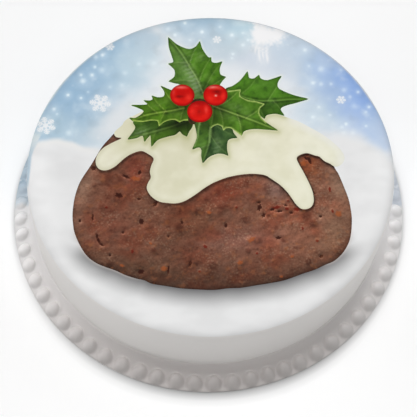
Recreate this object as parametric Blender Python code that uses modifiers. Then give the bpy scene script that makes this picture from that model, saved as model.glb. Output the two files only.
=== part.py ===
"""Round white iced celebration cake with a printed icing sheet on its top.

The cake stands alone, without a board. It is one uncut drum of cake under
smooth white icing (cake_body), with one piped ring of pearls round its foot
(piped_border) and one thin printed sheet of icing laid over the top and down
the rounded shoulder (printed_sheet).

Units are metres. +Z is up, the cake's axis is Z, and it stands on z = 0.
The front of the printed picture faces -Y.
"""
import math

import bpy

# ------------------------------------------------------------------ sizes
CAKE_RADIUS = 0.1000        # iced wall, an eight inch round cake
CAKE_HEIGHT = 0.0550        # top of the printed sheet
SHOULDER_RADIUS = 0.0100    # rounding of the top edge, over the sheet

SHEET_THICKNESS = 0.0007    # printed icing sheet
SHEET_GAP = 0.0003          # between the sheet and the icing under it
SHEET_DRAPE_DEG = 25.0      # the sheet ends this far above the shoulder's foot

BORDER_GAP = 0.0003         # between the wall and the piped ring
BORDER_HEIGHT = 0.0105      # where the ring meets the wall
BORDER_RADIUS = 0.1127      # smooth foot under the pearls
BORDER_FOOT = 0.0011        # thickness of that foot
PEARLS = 66
PEARL_MID_RADIUS = 0.1085   # circle of the pearls' centres
PEARL_HALF_LENGTH = 0.0040  # radially
PEARL_HEIGHT = 0.0036       # above the foot they sit on
PEARL_PHASE_DEG = -2.0      # turns the ring so that two gaps lie near the X axis
STEPS_PER_PEARL = 4

ROUND_STEPS = 80            # facets round the cake and the sheet
ARC_STEPS = 3               # facets across the shoulder

COLLECTION = "iced_cake"


# ------------------------------------------------------------------ helpers
def clear_scene():
    for obj in list(bpy.data.objects):
        bpy.data.objects.remove(obj, do_unlink=True)
    for mesh in list(bpy.data.meshes):
        bpy.data.meshes.remove(mesh)


def make_material(name, colour, roughness, subsurface=0.0):
    mat = bpy.data.materials.new(name)
    mat.use_nodes = True
    shader = mat.node_tree.nodes["Principled BSDF"]
    shader.inputs["Base Color"].default_value = (*colour, 1.0)
    shader.inputs["Roughness"].default_value = roughness
    shader.inputs["Metallic"].default_value = 0.0
    shader.inputs["Subsurface Weight"].default_value = subsurface
    mat.diffuse_color = (*colour, 1.0)
    return mat


def profile_object(name, points, closed, coll):
    """A half section in the XZ plane, as (radius, height) pairs."""
    mesh = bpy.data.meshes.new(name)
    edges = [(i, i + 1) for i in range(len(points) - 1)]
    if closed:
        edges.append((len(points) - 1, 0))
    mesh.from_pydata([(r, 0.0, z) for r, z in points], edges, [])
    mesh.update()
    obj = bpy.data.objects.new(name, mesh)
    coll.objects.link(obj)
    return obj


def turn(obj, steps):
    """Turn a section about Z. It runs down the outer side, top to bottom."""
    screw = obj.modifiers.new("turn", "SCREW")
    screw.axis = "Z"
    screw.angle = 2.0 * math.pi
    screw.steps = steps
    screw.render_steps = steps
    screw.screw_offset = 0.0
    screw.use_merge_vertices = True
    screw.merge_threshold = 0.00001
    screw.use_smooth_shade = True
    return screw


def shoulder_arc(radius, centre_r, centre_z, from_deg, to_deg, steps):
    """Points of the rounded top edge, from the top towards the wall."""
    out = []
    for i in range(steps + 1):
        a = math.radians(from_deg + (to_deg - from_deg) * i / steps)
        out.append((centre_r + radius * math.cos(a), centre_z + radius * math.sin(a)))
    return out


def finish_mesh(obj, angle_deg):
    obj.data.shade_smooth()
    obj.data.set_sharp_from_angle(angle=math.radians(angle_deg))


# ------------------------------------------------------------------ the cake
def build_cake(coll, mat):
    """The solid drum of cake under its smooth coat of icing."""
    arc_r = SHOULDER_RADIUS - SHEET_THICKNESS - SHEET_GAP
    centre_r = CAKE_RADIUS - SHOULDER_RADIUS
    centre_z = CAKE_HEIGHT - SHOULDER_RADIUS
    points = [(0.0, centre_z + arc_r)]
    points += shoulder_arc(arc_r, centre_r, centre_z, 90.0, 0.0, ARC_STEPS + 1)
    points += [(CAKE_RADIUS, BORDER_HEIGHT), (CAKE_RADIUS, 0.0), (0.0, 0.0)]
    obj = profile_object("cake_body", points, False, coll)
    turn(obj, ROUND_STEPS)
    obj.data.materials.append(mat)
    return obj


# ------------------------------------------------------------------ the printed sheet
def build_sheet(coll, mat):
    """A thin disc of printed icing that follows the rounded shoulder."""
    centre_r = CAKE_RADIUS - SHOULDER_RADIUS
    centre_z = CAKE_HEIGHT - SHOULDER_RADIUS
    inner_r = SHOULDER_RADIUS - SHEET_THICKNESS
    outer = shoulder_arc(SHOULDER_RADIUS, centre_r, centre_z, 90.0, SHEET_DRAPE_DEG + 2.5, ARC_STEPS)
    inner = shoulder_arc(inner_r, centre_r, centre_z, SHEET_DRAPE_DEG, 90.0, ARC_STEPS)
    points = [(0.0, CAKE_HEIGHT)] + outer + inner + [(0.0, centre_z + inner_r)]
    obj = profile_object("printed_sheet", points, False, coll)
    turn(obj, ROUND_STEPS)
    obj.data.materials.append(mat)
    return obj


# ------------------------------------------------------------------ the piped ring
def pearl_rise(radius, angle):
    """Height of the pearls over the ring's foot at a place on it."""
    s = (radius - PEARL_MID_RADIUS) / PEARL_HALF_LENGTH
    if abs(s) >= 1.0:
        return 0.0
    pitch = 2.0 * math.pi / PEARLS
    t = (angle / pitch + 0.5) % 1.0 - 0.5          # -0.5 and 0.5 are the gaps
    return PEARL_HEIGHT * (1.0 - s * s) ** 0.5 * max(0.0, math.cos(math.pi * t)) ** 0.7


def build_border(coll, mat):
    """One piped ring: a smooth steep band, then pearls on a thin round foot."""
    inner = CAKE_RADIUS + BORDER_GAP
    start = PEARL_MID_RADIUS - PEARL_HALF_LENGTH
    end = PEARL_MID_RADIUS + PEARL_HALF_LENGTH
    foot_top = BORDER_FOOT + 0.0004
    section = [
        (inner, BORDER_HEIGHT - 0.0008),
        (inner + 0.0004, BORDER_HEIGHT),
        (inner + 0.0018, BORDER_HEIGHT * 0.70),
        (inner + 0.0030, BORDER_HEIGHT * 0.51),
        (start, foot_top + 0.0025),
    ]
    for k in (0.18, 0.45, 0.75):
        section.append((start + (end - start) * k, foot_top + 0.0025 * (1.0 - k) ** 1.5))
    section += [
        (end, foot_top),
        (BORDER_RADIUS, BORDER_FOOT),
        (BORDER_RADIUS, 0.0),
        (inner, 0.0),
    ]
    guide = profile_object("border_section", section, True, coll)
    turn(guide, PEARLS * STEPS_PER_PEARL)

    depsgraph = bpy.context.evaluated_depsgraph_get()
    mesh = bpy.data.meshes.new_from_object(guide.evaluated_get(depsgraph))
    mesh.name = "piped_border"
    bpy.data.objects.remove(guide, do_unlink=True)

    for vert in mesh.vertices:
        if vert.co.z > 0.0005:
            vert.co.z += pearl_rise(math.hypot(vert.co.x, vert.co.y), math.atan2(vert.co.y, vert.co.x))
    mesh.update()

    obj = bpy.data.objects.new("piped_border", mesh)
    coll.objects.link(obj)
    obj.rotation_euler = (0.0, 0.0, math.radians(PEARL_PHASE_DEG))
    obj.data.materials.clear()
    obj.data.materials.append(mat)
    finish_mesh(obj, 50.0)
    return obj


def main():
    clear_scene()
    coll = bpy.data.collections.new(COLLECTION)
    bpy.context.scene.collection.children.link(coll)

    white_icing = make_material("white_icing", (0.86, 0.86, 0.87), 0.55, 0.10)
    piped_icing = make_material("piped_icing", (0.84, 0.84, 0.85), 0.50, 0.10)
    printed_icing = make_material("printed_icing", (0.66, 0.74, 0.82), 0.60, 0.0)

    build_cake(coll, white_icing)
    build_border(coll, piped_icing)
    build_sheet(coll, printed_icing)
    bpy.context.view_layer.update()


main()
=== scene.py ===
"""Looks of the round iced cake: smooth white icing, a piped ring of pearls round
its foot and a printed winter picture (a pudding with cream sauce and holly)
on its top. Everything is drawn here by functions: no image is read.

Places on the printed picture are given in the frame of a 417 x 417 view
(x to the right, y down) and are carried onto the cake by the camera's own
perspective, so that the drawing lies on the cake seen from any side.
"""
import math

import bpy
import numpy as np
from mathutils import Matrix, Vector
from mathutils.geometry import delaunay_2d_cdt


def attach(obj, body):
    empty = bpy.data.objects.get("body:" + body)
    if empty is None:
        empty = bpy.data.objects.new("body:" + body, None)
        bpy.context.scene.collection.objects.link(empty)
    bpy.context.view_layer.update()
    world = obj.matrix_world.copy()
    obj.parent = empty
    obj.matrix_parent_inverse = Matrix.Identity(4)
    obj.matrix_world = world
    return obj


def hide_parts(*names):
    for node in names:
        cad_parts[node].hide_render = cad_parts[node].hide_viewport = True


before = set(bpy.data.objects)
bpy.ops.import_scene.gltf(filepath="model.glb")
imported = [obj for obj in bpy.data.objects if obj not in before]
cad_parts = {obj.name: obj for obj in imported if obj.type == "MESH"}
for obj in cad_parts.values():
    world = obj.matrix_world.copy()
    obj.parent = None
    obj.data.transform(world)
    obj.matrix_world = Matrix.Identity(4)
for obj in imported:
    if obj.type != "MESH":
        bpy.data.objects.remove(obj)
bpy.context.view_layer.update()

# ---------------------------------------------------------------- the cake's sizes (metres)
WALL_R = 0.1000
TOP_Z = 0.0550
SHOULDER = 0.0100
FLAT_R = WALL_R - SHOULDER
ARC_Z = TOP_Z - SHOULDER
BORDER_H = 0.0105
BORDER_R = 0.1127
PEARLS = 66
PEARL_MID = 0.1085
PEARL_HALF = 0.0040
PEARL_PHASE = math.radians(-2.0)
SEAM = 0.0035                     # slope of the line where the blue tint ends
SEAM_Y = -0.0022                  # and where it crosses the middle
DENT = 0.0085                     # the top's back edge is a little flatter than a circle
LEAN = 0.0011                     # the top sits this far to the right of the foot

# ---------------------------------------------------------------- camera
ELEV = math.radians(62.2)
DIST = 0.629
AIM = np.array([0.0, 0.0, -0.0030])
FOCAL_PX = 1074.0
FRAME_PX = 417.0
FWD = np.array([0.0, math.cos(ELEV), -math.sin(ELEV)])
RIGHT = np.array([1.0, 0.0, 0.0])
UP = np.array([0.0, math.sin(ELEV), math.cos(ELEV)])
EYE = AIM - FWD * DIST


def smooth01(t):
    t = np.clip(t, 0.0, 1.0)
    return t * t * (3.0 - 2.0 * t)


def lean_at(z):
    t = np.clip((np.asarray(z) - BORDER_H) / (ARC_Z - BORDER_H), 0.0, 1.0)
    return LEAN * t * t * (3.0 - 2.0 * t)


def dent_at(x, y):
    """How much the back of the top is drawn in, by the angle round the cake."""
    off = (np.arctan2(y, x) - 1.60) / 0.60
    return 1.0 - DENT * np.exp(-off * off)


def to_picture(p):
    d = np.asarray(p) - EYE
    depth = d @ FWD
    return np.stack([FRAME_PX / 2 + FOCAL_PX * (d @ RIGHT) / depth,
                     FRAME_PX / 2 - FOCAL_PX * (d @ UP) / depth], -1)


def ray_at_height(uv, z):
    uv = np.asarray(uv, float)
    d = FWD + RIGHT * ((uv[..., 0] - FRAME_PX / 2) / FOCAL_PX)[..., None] \
        - UP * ((uv[..., 1] - FRAME_PX / 2) / FOCAL_PX)[..., None]
    t = (z - EYE[2]) / d[..., 2]
    return EYE + d * t[..., None]


# ---------------------------------------------------------------- the sheet, unrolled
# A place on the sheet is (X, Y) in its plan: the distance from the middle is
# measured along the surface, over the flat top and down the round shoulder.
def plan_to_cake(plan, sink=0.0):
    plan = np.asarray(plan, float)
    s = np.hypot(plan[..., 0], plan[..., 1])
    ang = np.arctan2(plan[..., 1], plan[..., 0])
    a = np.clip((s - FLAT_R) / SHOULDER, 0.0, None)
    # the very edge of the sheet sinks into the icing, so no step shows
    edge = np.clip((a - 1.05) / 0.42, 0.0, 1.0)
    rad = SHOULDER - sink - 0.00013 * edge * edge * (3 - 2 * edge)
    r = np.where(a > 0, FLAT_R + rad * np.sin(a), s)
    z = np.where(a > 0, ARC_Z + rad * np.cos(a), TOP_Z - sink)
    r = r * (1.0 - (1.0 - dent_at(plan[..., 0], plan[..., 1])) * smooth01((s - 0.05) / 0.04))
    return np.stack([r * np.cos(ang) + lean_at(z), r * np.sin(ang), z], -1)


def picture_to_plan(uv):
    uv = np.asarray(uv, float)
    z = np.full(uv.shape[:-1], TOP_Z)
    for _ in range(14):
        p = ray_at_height(uv, z)
        x = p[..., 0] - lean_at(z)
        r = np.hypot(x, p[..., 1])
        r = np.minimum(r / (1.0 - (1.0 - dent_at(x, p[..., 1])) * smooth01((r - 0.05) / 0.04)), WALL_R - 1e-5)
        znew = np.where(r > FLAT_R, ARC_Z + np.sqrt(np.clip(SHOULDER ** 2 - (r - FLAT_R) ** 2, 0, None)), TOP_Z)
        z = 0.5 * z + 0.5 * znew
    p = ray_at_height(uv, z)
    x, y = p[..., 0] - lean_at(z), p[..., 1]
    real = np.hypot(x, y)
    r = real / (1.0 - (1.0 - dent_at(x, y)) * smooth01((real - 0.05) / 0.04))
    a = np.arcsin(np.clip((r - FLAT_R) / SHOULDER, 0.0, 1.0))
    s = np.where(r > FLAT_R, FLAT_R + SHOULDER * a, r)
    k = s / np.maximum(real, 1e-9)
    return np.stack([x * k, y * k], -1)


# ---------------------------------------------------------------- small tools
def lin(rgb):
    c = np.asarray(rgb, float) / 255.0
    return np.where(c <= 0.04045, c / 12.92, ((c + 0.055) / 1.055) ** 2.4)


def mixc(a, b, t):
    t = np.asarray(t)[..., None]
    return a * (1.0 - t) + np.asarray(b, float) * t


_rng = np.random.RandomState(20)
_perm = np.concatenate([_rng.permutation(256)] * 3)
_grad = np.stack([np.cos(np.arange(16) * math.pi / 8), np.sin(np.arange(16) * math.pi / 8)], -1)


def noise2(x, y):
    """Gradient noise, about -1 to 1."""
    xi, yi = np.floor(x).astype(int), np.floor(y).astype(int)
    xf, yf = x - xi, y - yi
    u = xf * xf * xf * (xf * (xf * 6 - 15) + 10)
    v = yf * yf * yf * (yf * (yf * 6 - 15) + 10)

    def g(ix, iy, dx, dy):
        h = _perm[_perm[ix & 255] + (iy & 255)] & 15
        return _grad[h, 0] * dx + _grad[h, 1] * dy
    n00, n10 = g(xi, yi, xf, yf), g(xi + 1, yi, xf - 1, yf)
    n01, n11 = g(xi, yi + 1, xf, yf - 1), g(xi + 1, yi + 1, xf - 1, yf - 1)
    return 1.5 * ((n00 * (1 - u) + n10 * u) * (1 - v) + (n01 * (1 - u) + n11 * u) * v)


def fbm(x, y, octaves=3):
    out, amp, tot = 0.0, 1.0, 0.0
    for k in range(octaves):
        out = out + amp * noise2(x * 2 ** k + 17.3 * k, y * 2 ** k - 9.1 * k)
        tot += amp
        amp *= 0.5
    return out / tot


def blob(uv, cx, cy, rx, ry, turn=0.0):
    c, s = math.cos(math.radians(turn)), math.sin(math.radians(turn))
    dx, dy = uv[:, 0] - cx, uv[:, 1] - cy
    a, b = (dx * c + dy * s) / rx, (-dx * s + dy * c) / ry
    return np.exp(-(a * a + b * b))


def curve(points, step=1.1, closed=True):
    """A smooth line through points. A third entry of 1 marks a sharp corner."""
    n = len(points)
    p = np.array([q[:2] for q in points], float)
    sharp = [len(q) > 2 for q in points]
    out = []
    for i in range(n if closed else n - 1):
        a, b = p[i], p[(i + 1) % n]
        pre = p[i - 1] if (closed or i > 0) else 2 * a - b
        nxt = p[(i + 2) % n] if (closed or i + 2 < n) else 2 * b - a
        m0 = (b - a) if sharp[i] else 0.5 * (b - pre)
        m1 = (b - a) if sharp[(i + 1) % n] else 0.5 * (nxt - a)
        k = max(1, int(round(np.linalg.norm(b - a) / step)))
        for j in range(k):
            t = j / k
            out.append((2 * t ** 3 - 3 * t ** 2 + 1) * a + (t ** 3 - 2 * t ** 2 + t) * m0
                       + (-2 * t ** 3 + 3 * t ** 2) * b + (t ** 3 - t ** 2) * m1)
    if not closed:
        out.append(p[-1])
    return np.array(out)


def inside(pts, poly):
    x, y = pts[:, 0], pts[:, 1]
    res = np.zeros(len(pts), bool)
    lo, hi = poly.min(0), poly.max(0)
    near = np.where((x >= lo[0]) & (x <= hi[0]) & (y >= lo[1]) & (y <= hi[1]))[0]
    if len(near) == 0:
        return res
    px, py = x[near], y[near]
    r = np.zeros(len(near), bool)
    q = np.roll(poly, -1, 0)
    for (ax, ay), (bx, by) in zip(poly, q):
        if ay == by:
            continue
        cross = ((ay > py) != (by > py)) & (px < (bx - ax) * (py - ay) / (by - ay) + ax)
        r ^= cross
    res[near] = r
    return res


def near_line(pts, line, closed=False):
    """Distance to a line of points, and how far along it (0 to 1)."""
    a = line if closed else line[:-1]
    b = np.roll(line, -1, 0) if closed else line[1:]
    best = np.full(len(pts), 1e9)
    along = np.zeros(len(pts))
    side = np.zeros(len(pts))
    seg = np.linalg.norm(b - a, axis=1)
    total = max(seg.sum(), 1e-9)
    start = np.concatenate([[0], np.cumsum(seg)[:-1]])
    for i in range(len(a)):
        d = b[i] - a[i]
        l2 = max(d @ d, 1e-12)
        t = np.clip(((pts - a[i]) @ d) / l2, 0, 1)
        q = pts - a[i] - t[:, None] * d
        dist = np.hypot(q[:, 0], q[:, 1])
        m = dist < best
        best = np.where(m, dist, best)
        along = np.where(m, (start[i] + t * seg[i]) / total, along)
        side = np.where(m, np.sign(d[0] * (pts[:, 1] - a[i][1]) - d[1] * (pts[:, 0] - a[i][0])), side)
    return best, along, side


def fuller(line, by, move=(0.0, 0.0)):
    """The same closed outline pushed outwards a little, and moved."""
    ahead, behind = np.roll(line, -1, 0), np.roll(line, 1, 0)
    t = ahead - behind
    t /= np.maximum(np.linalg.norm(t, axis=1), 1e-9)[:, None]
    x, y = line[:, 0], line[:, 1]
    turn = np.sign(np.sum(x * np.roll(y, -1) - y * np.roll(x, -1)))
    return line + by * turn * np.stack([t[:, 1], -t[:, 0]], -1) + np.array(move)


def ellipse(cx, cy, rx, ry, n=28, turn=0.0):
    t = np.arange(n) * 2 * math.pi / n
    c, s = math.cos(math.radians(turn)), math.sin(math.radians(turn))
    x, y = rx * np.cos(t), ry * np.sin(t)
    return np.stack([cx + x * c - y * s, cy + x * s + y * c], -1)


# ---------------------------------------------------------------- the picture's outlines
PUDDING = curve([
    (118, 131), (108.5, 139.5), (102, 147), (96.4, 156), (90.4, 166), (84.2, 175), (79, 184.2),
    (74.8, 197), (72.6, 212), (72.9, 223), (74.6, 233), (79.6, 244.8), (86.6, 255.6), (95.4, 262.6),
    (105.2, 267), (115.6, 270.6), (126, 275.4), (136.4, 278.6), (144.4, 280.4), (152, 283.8),
    (166, 286.1), (181, 288.4), (198, 289.5), (214, 290.0), (228, 288.4), (241, 287.8), (257.4, 285.2),
    (269, 283.4), (282.7, 280.8), (292, 277.8), (303.3, 273.6), (314.8, 269.8), (325, 265),
    (334.4, 260.8), (342.8, 253), (348.8, 242.6), (351.2, 232.4), (351.9, 220), (351, 210.6), (348.6, 199),
    (343.8, 186.4), (338.5, 174), (334.2, 166.8), (328, 150), (300, 138), (250, 130), (190, 124), (140, 124)], 2.0)

SAUCE = curve([
    (131.5, 116.7), (121.5, 125.7), (114.4, 132.3), (116, 137), (121.4, 138.2), (111.4, 143.1), (103, 148.2),
    (97.6, 154.6), (95.6, 161), (96.7, 166.2), (100.5, 169.7), (106.8, 170.2), (114.2, 167.0), (119.2, 162.9),
    (125.4, 157.6), (132.3, 153.5), (141.2, 151), (147.8, 153.7), (153.6, 158.6), (151.1, 166), (149.9, 172),
    (150.8, 177.6), (148, 182.9), (146.7, 188), (149.2, 193.8), (154.4, 198.9), (160.8, 202),
    (167.4, 202.9), (174.8, 203.4), (182.2, 202), (188.8, 198.8), (197.4, 193.2), (204, 188.3),
    (213, 183), (225.3, 178), (238, 175.1), (251.6, 173.8), (264.2, 175.0), (271.4, 178.9),
    (280.4, 185.2), (287.2, 192), (291.8, 198.2), (295.8, 204.0), (301, 208.6), (306.8, 209),
    (311.4, 206.6), (313.7, 201.4), (313, 193.4), (310.6, 186.4), (306.8, 178.4), (302.6, 170.4),
    (298.7, 163.6), (296.7, 158.2), (299.9, 155), (306.8, 153.2), (314.6, 155.4), (319.4, 156.7),
    (324, 160.8), (329.7, 163.6), (335.6, 166.8), (341.4, 164.4), (344.6, 158.4), (342, 151.4),
    (334, 143), (322.6, 134.6), (310.4, 127.6), (298.4, 121.4), (286, 117), (272, 112), (240, 100), (180, 98)], 1.6)

S = 1  # a sharp corner
RAW = {}
RAW["top"] = [
    (168.3, 37.4, S), (177.6, 45.0), (188.4, 49.2), (195.4, 47.0), (199.8, 41.4, S), (202.4, 49.4), (208, 57.2),
    (211.0, 57.4, S), (211.6, 61.8), (216, 63.2), (222.1, 61.6, S), (219.6, 68.2), (220.4, 74.6),
    (225.8, 77, S), (222, 81), (216, 90), (206, 99), (196, 100), (188, 92), (180.4, 84.6), (174.6, 83),
    (168.8, 81.4, S), (174.4, 76.8), (175.0, 71), (172.4, 67.2), (168.4, 63.8, S), (173.4, 62.0),
    (172.0, 56), (169.2, 47.2)]
LEAF_TOP = fuller(curve(RAW["top"], 1.1), 0.35)
RAW["right_back"] = [
    (226, 90), (233, 86.2), (240.4, 80.6), (247.4, 71.8, S), (249, 78), (253.9, 78.8), (258.9, 75.2, S),
    (260.6, 78.8), (266.7, 80.6), (273.6, 78.8), (281.2, 76.2, S), (277.6, 82.2), (277.8, 87.8),
    (283.6, 91.6), (294.6, 95.8), (307.8, 99, S), (296, 102.5), (284.6, 105.7), (280.3, 109.2), (284, 115.4, S),
    (275.6, 113.4), (266.8, 114.8), (264.4, 118.4, S), (256, 112), (240, 100)]
LEAF_RIGHT_BACK = fuller(curve(RAW["right_back"], 1.1), 0.50)
RAW["right"] = [
    (222, 92), (231, 91), (240.3, 89.6, S), (240, 96.2), (247.8, 100.4), (256, 101.6), (264.4, 104, S),
    (259.6, 108.4), (259, 113.2), (261.6, 118.2), (267.2, 123.4), (277.7, 130.3, S), (266.4, 129.4),
    (254, 128.8), (244.6, 130.8), (241.6, 135.4, S), (236.8, 132.0), (231.0, 128.0), (226.4, 128.0),
    (223.5, 130.2, S), (221.8, 126.2), (217.6, 124.5), (213.6, 125.8), (210.8, 128, S), (208.6, 122),
    (206, 114), (212, 100)]
LEAF_RIGHT = fuller(curve(RAW["right"], 1.1), 0.35)
RAW["bottom"] = [
    (195.2, 119), (196.6, 130.6), (197, 137.6), (192.6, 148.6, S), (199, 146.6), (201.8, 149.4),
    (201.6, 155.2), (202.9, 162.3, S), (209, 156.2), (217, 153), (223.2, 153.1), (227.9, 154.9, S),
    (226.6, 147.4), (227.6, 140.2), (231, 137.8), (237.0, 137.2, S), (233.4, 132.6), (231.0, 127.2),
    (222, 120), (208, 114)]
LEAF_BOTTOM = fuller(curve(RAW["bottom"], 1.1), 0.45, (0.0, 0.5))
RAW["left"] = [
    (176, 92), (168.6, 89.2), (161.4, 86, S), (165, 91.6), (164.4, 96.4), (158.6, 97.6), (152.4, 95.8, S),
    (153.4, 99.2), (150.4, 100.8), (144.4, 100.4, S), (147.6, 104.6), (132, 105.3, S), (139, 107.8),
    (144.4, 111.6), (136.8, 117.8), (130, 118, S), (133.2, 120.8, S), (143, 121.6), (151, 120.2),
    (158, 120.8), (159.4, 126, S), (164.6, 121.8), (170, 119.8), (175.4, 119.6), (180, 122, S),
    (184, 120.2), (190, 119.6), (196, 110), (188, 98)]
LEAF_LEFT = fuller(curve(RAW["left"], 1.1), 0.40, (-0.5, 0.0))
RAW["left_low"] = [
    (134, 120.6), (135.8, 127.4), (128.2, 138.4, S), (136.4, 137), (142.8, 134.6), (144.9, 140.6, S),
    (147.4, 137), (151, 134.6), (151.8, 145.4, S), (158, 138.8), (168, 135.4), (175.2, 133.6),
    (180, 130.2), (182.6, 133.0), (186.9, 135.4, S), (189, 130.6), (192.6, 124.6), (190, 118),
    (170, 115), (145, 116)]
LEAF_LEFT_LOW = fuller(curve(RAW["left_low"], 1.1), 0.50, (-0.2, 0.8))

MIDRIB = {
    "top": [(203, 93), (197, 79), (190.4, 68), (182.6, 55), (174.6, 44.6), (168.8, 38)],
    "right_back": [(228, 90), (243, 97), (258, 100.6), (273, 100.6), (290, 99.4), (307, 99)],
    "right": [(213, 106), (224, 110), (236, 114.4), (250, 119.4), (264, 124.8), (277, 130)],
    "bottom": [(211, 122), (211.4, 131), (209.6, 141), (206.4, 152), (203, 161.6)],
    "left": [(184, 108), (172, 110.6), (160, 112.4), (146, 115.2), (132, 119.6)],
    "left_low": [(186, 121), (176, 125), (165, 128.4), (152, 132), (140, 135), (129, 138)],
}

BERRIES = [(182.3, 95.3, 12.3, 10.8), (215.5, 95.1, 12.2, 10.6), (199.8, 111.6, 12.7, 10.9)]

# snowflakes: middle x, y, half width, turn
FLAKES = [(100.2, 103.2, 11.0, 8), (45.6, 125.6, 10.5, 20), (110, 46.8, 4.6, 0), (217, 39.6, 4.6, 12),
          (341, 99.8, 5.0, 5)]

# soft snow specks: x, y, size, strength
DOTS = [(68, 95, 1.6, 1), (81, 98, 1.3, .9), (83, 81, 3.2, .8), (92, 75, 1.9, .9), (81, 75, 1.6, .8),
        (102, 70, 3.4, .55), (95, 67, 1.5, .8), (102.5, 55, 2.0, .9), (96, 57, 2.4, .6), (185, 23, 1.7, 1),
        (202, 32, 2.2, .95), (175, 35, 2.0, .8), (168, 29, 2.6, .5), (54, 109, 1.9, .8), (57, 114, 1.2, .6),
        (69, 133, 3.6, .6), (125, 73, 2.6, .5), (139, 64, 2.2, .5), (110, 87, 2.0, .4), (122, 85, 2.4, .45),
        (232, 35, 2.0, .95), (220, 27, 1.6, .6), (243, 45, 2.2, .7), (248, 40, 1.3, .9), (233, 54, 1.7, .8),
        (232, 58, 1.5, .6), (305, 50, 1.8, .8), (321, 69, 3.4, .6), (309, 66, 1.8, .5), (313, 83, 2.3, .8),
        (321, 84, 2.5, .6), (331, 84, 1.6, .6), (341, 70, 2.0, .5), (344, 90, 2.8, .5), (358, 92, 1.4, .8),
        (350, 97, 1.6, .5), (354, 106, 3.2, .4), (369, 107, 1.5, .9), (366, 112, 1.4, .6), (319, 107, 1.8, .7),
        (313, 117, 2.2, .7), (330, 115, 1.6, .5), (346, 124, 1.8, .9), (342, 127, 2.4, .6), (366, 126, 1.3, .7),
        (344, 133, 2.2, .5), (353, 133, 2.0, .5), (79, 58, 1.3, .6), (154, 63, 2.6, .4), (88, 92, 1.1, .5),
        (243, 33, 1.4, .6), (190, 40, 1.6, .5), (300, 36, 1.6, .4), (334, 58, 1.4, .6)]

# pits, plums and peel in the pudding: x, y, half length, half width, turn, kind
BITS = [
    (93.6, 168.4, 2.6, 2.2, 20, "pit"), (92.8, 217.6, 1.1, 3.6, 5, "pit"), (98.2, 239.6, 1.5, 4.6, -22, "pit"),
    (101.4, 244.6, 2.4, 1.2, 30, "pit"), (141, 271.8, 3.2, 2.4, -10, "pit"), (168.4, 269.8, 1.3, 4.6, 6, "pit"),
    (123, 232.6, 1.3, 1.3, 0, "pit"), (80, 221, 1.4, 1.6, 0, "pit"), (141.4, 221.6, 2.6, 3.0, 0, "pit"),
    (126, 176.6, 4.4, 1.5, 24, "pit"), (139.6, 172.6, 1.6, 2.6, 20, "pit"), (119, 195.4, 4.0, 2.6, 14, "pit"),
    (155.6, 203.4, 2.0, 3.6, 40, "pit"), (139, 199, 1.7, 1.5, 0, "pit"), (110, 255.4, 1.3, 1.2, 0, "pit"),
    (259.4, 207.6, 2.2, 3.6, 16, "pit"), (263.6, 215.4, 1.8, 2.4, 30, "pit"), (276.4, 207.4, 4.6, 1.6, -12, "plum"),
    (272.4, 209.6, 2.4, 1.3, -20, "pit"), (279.6, 211.4, 3.0, 1.0, -6, "pit"), (285.6, 205.4, 2.0, 0.9, 16, "pit"),
    (291.4, 213.0, 1.7, 1.2, 0, "pit"), (296.4, 209.8, 2.6, 1.2, 12, "pit"), (97.2, 236.4, 1.2, 2.6, -8, "pit"),
    (306.4, 158.6, 3.2, 1.3, 34, "pit"), (288.0, 200.8, 1.4, 0.9, 0, "plum"), (259.0, 202.6, 1.6, 1.2, 0, "pit"),
    (287, 208.6, 2.2, 1.5, 10, "plum"), (296.6, 209.4, 3.0, 1.9, 8, "plum"), (278.4, 237.8, 2.8, 1.8, 0, "pit"),
    (317.2, 240.8, 1.7, 1.4, 20, "plum"), (320.6, 216.6, 1.5, 1.2, 0, "pit"), (332.6, 211.2, 1.3, 2.2, -20, "plum"),
    (329.8, 189.4, 1.3, 2.8, -8, "plum"), (309.4, 160.6, 1.6, 4.2, -28, "pit"), (306.6, 154.8, 2.2, 1.4, 0, "pit"),
    (338.6, 213.8, 3.6, 3.0, 20, "peel"), (251.6, 239.6, 4.6, 2.2, -34, "peel"), (135.4, 178.6, 5.0, 2.2, 12, "peel"),
    (303.6, 163.4, 3.4, 3.0, 0, "peel"), (164, 268.6, 3.6, 2.8, 0, "peel"), (122, 265.6, 2.6, 1.5, 20, "peel"),
    (313.6, 193.6, 2.0, 1.2, 0, "pit"), (190.4, 263.6, 1.4, 3.4, 12, "pit"), (226, 225.4, 1.6, 2.4, 10, "pit"),
    (182, 222.4, 1.3, 2.0, -14, "pit"), (240, 262.6, 3.0, 2.2, -20, "peel"), (205.4, 246.6, 2.4, 1.6, 24, "plum"),
    (292, 256.6, 2.2, 1.4, -12, "peel"), (209, 212.4, 2.6, 1.8, 16, "peel"), (281.4, 276.6, 2.0, 1.3, 0, "peel"),
    (321.4, 256.4, 2.0, 1.6, -30, "pit"), (236.4, 207.4, 1.3, 1.2, 0, "plum"), (199.6, 271.4, 1.5, 1.2, 0, "plum"),
    (150.6, 243.4, 2.0, 1.2, 28, "peel"), (106.4, 207.4, 1.6, 1.2, 0, "plum"), (132.4, 251.4, 1.4, 2.2, 10, "plum"),
    (257, 253.4, 1.4, 1.2, 0, "plum"), (302.6, 228.4, 1.2, 1.8, -10, "plum"), (168.6, 236.6, 1.2, 1.2, 0, "pit"),
]


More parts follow.
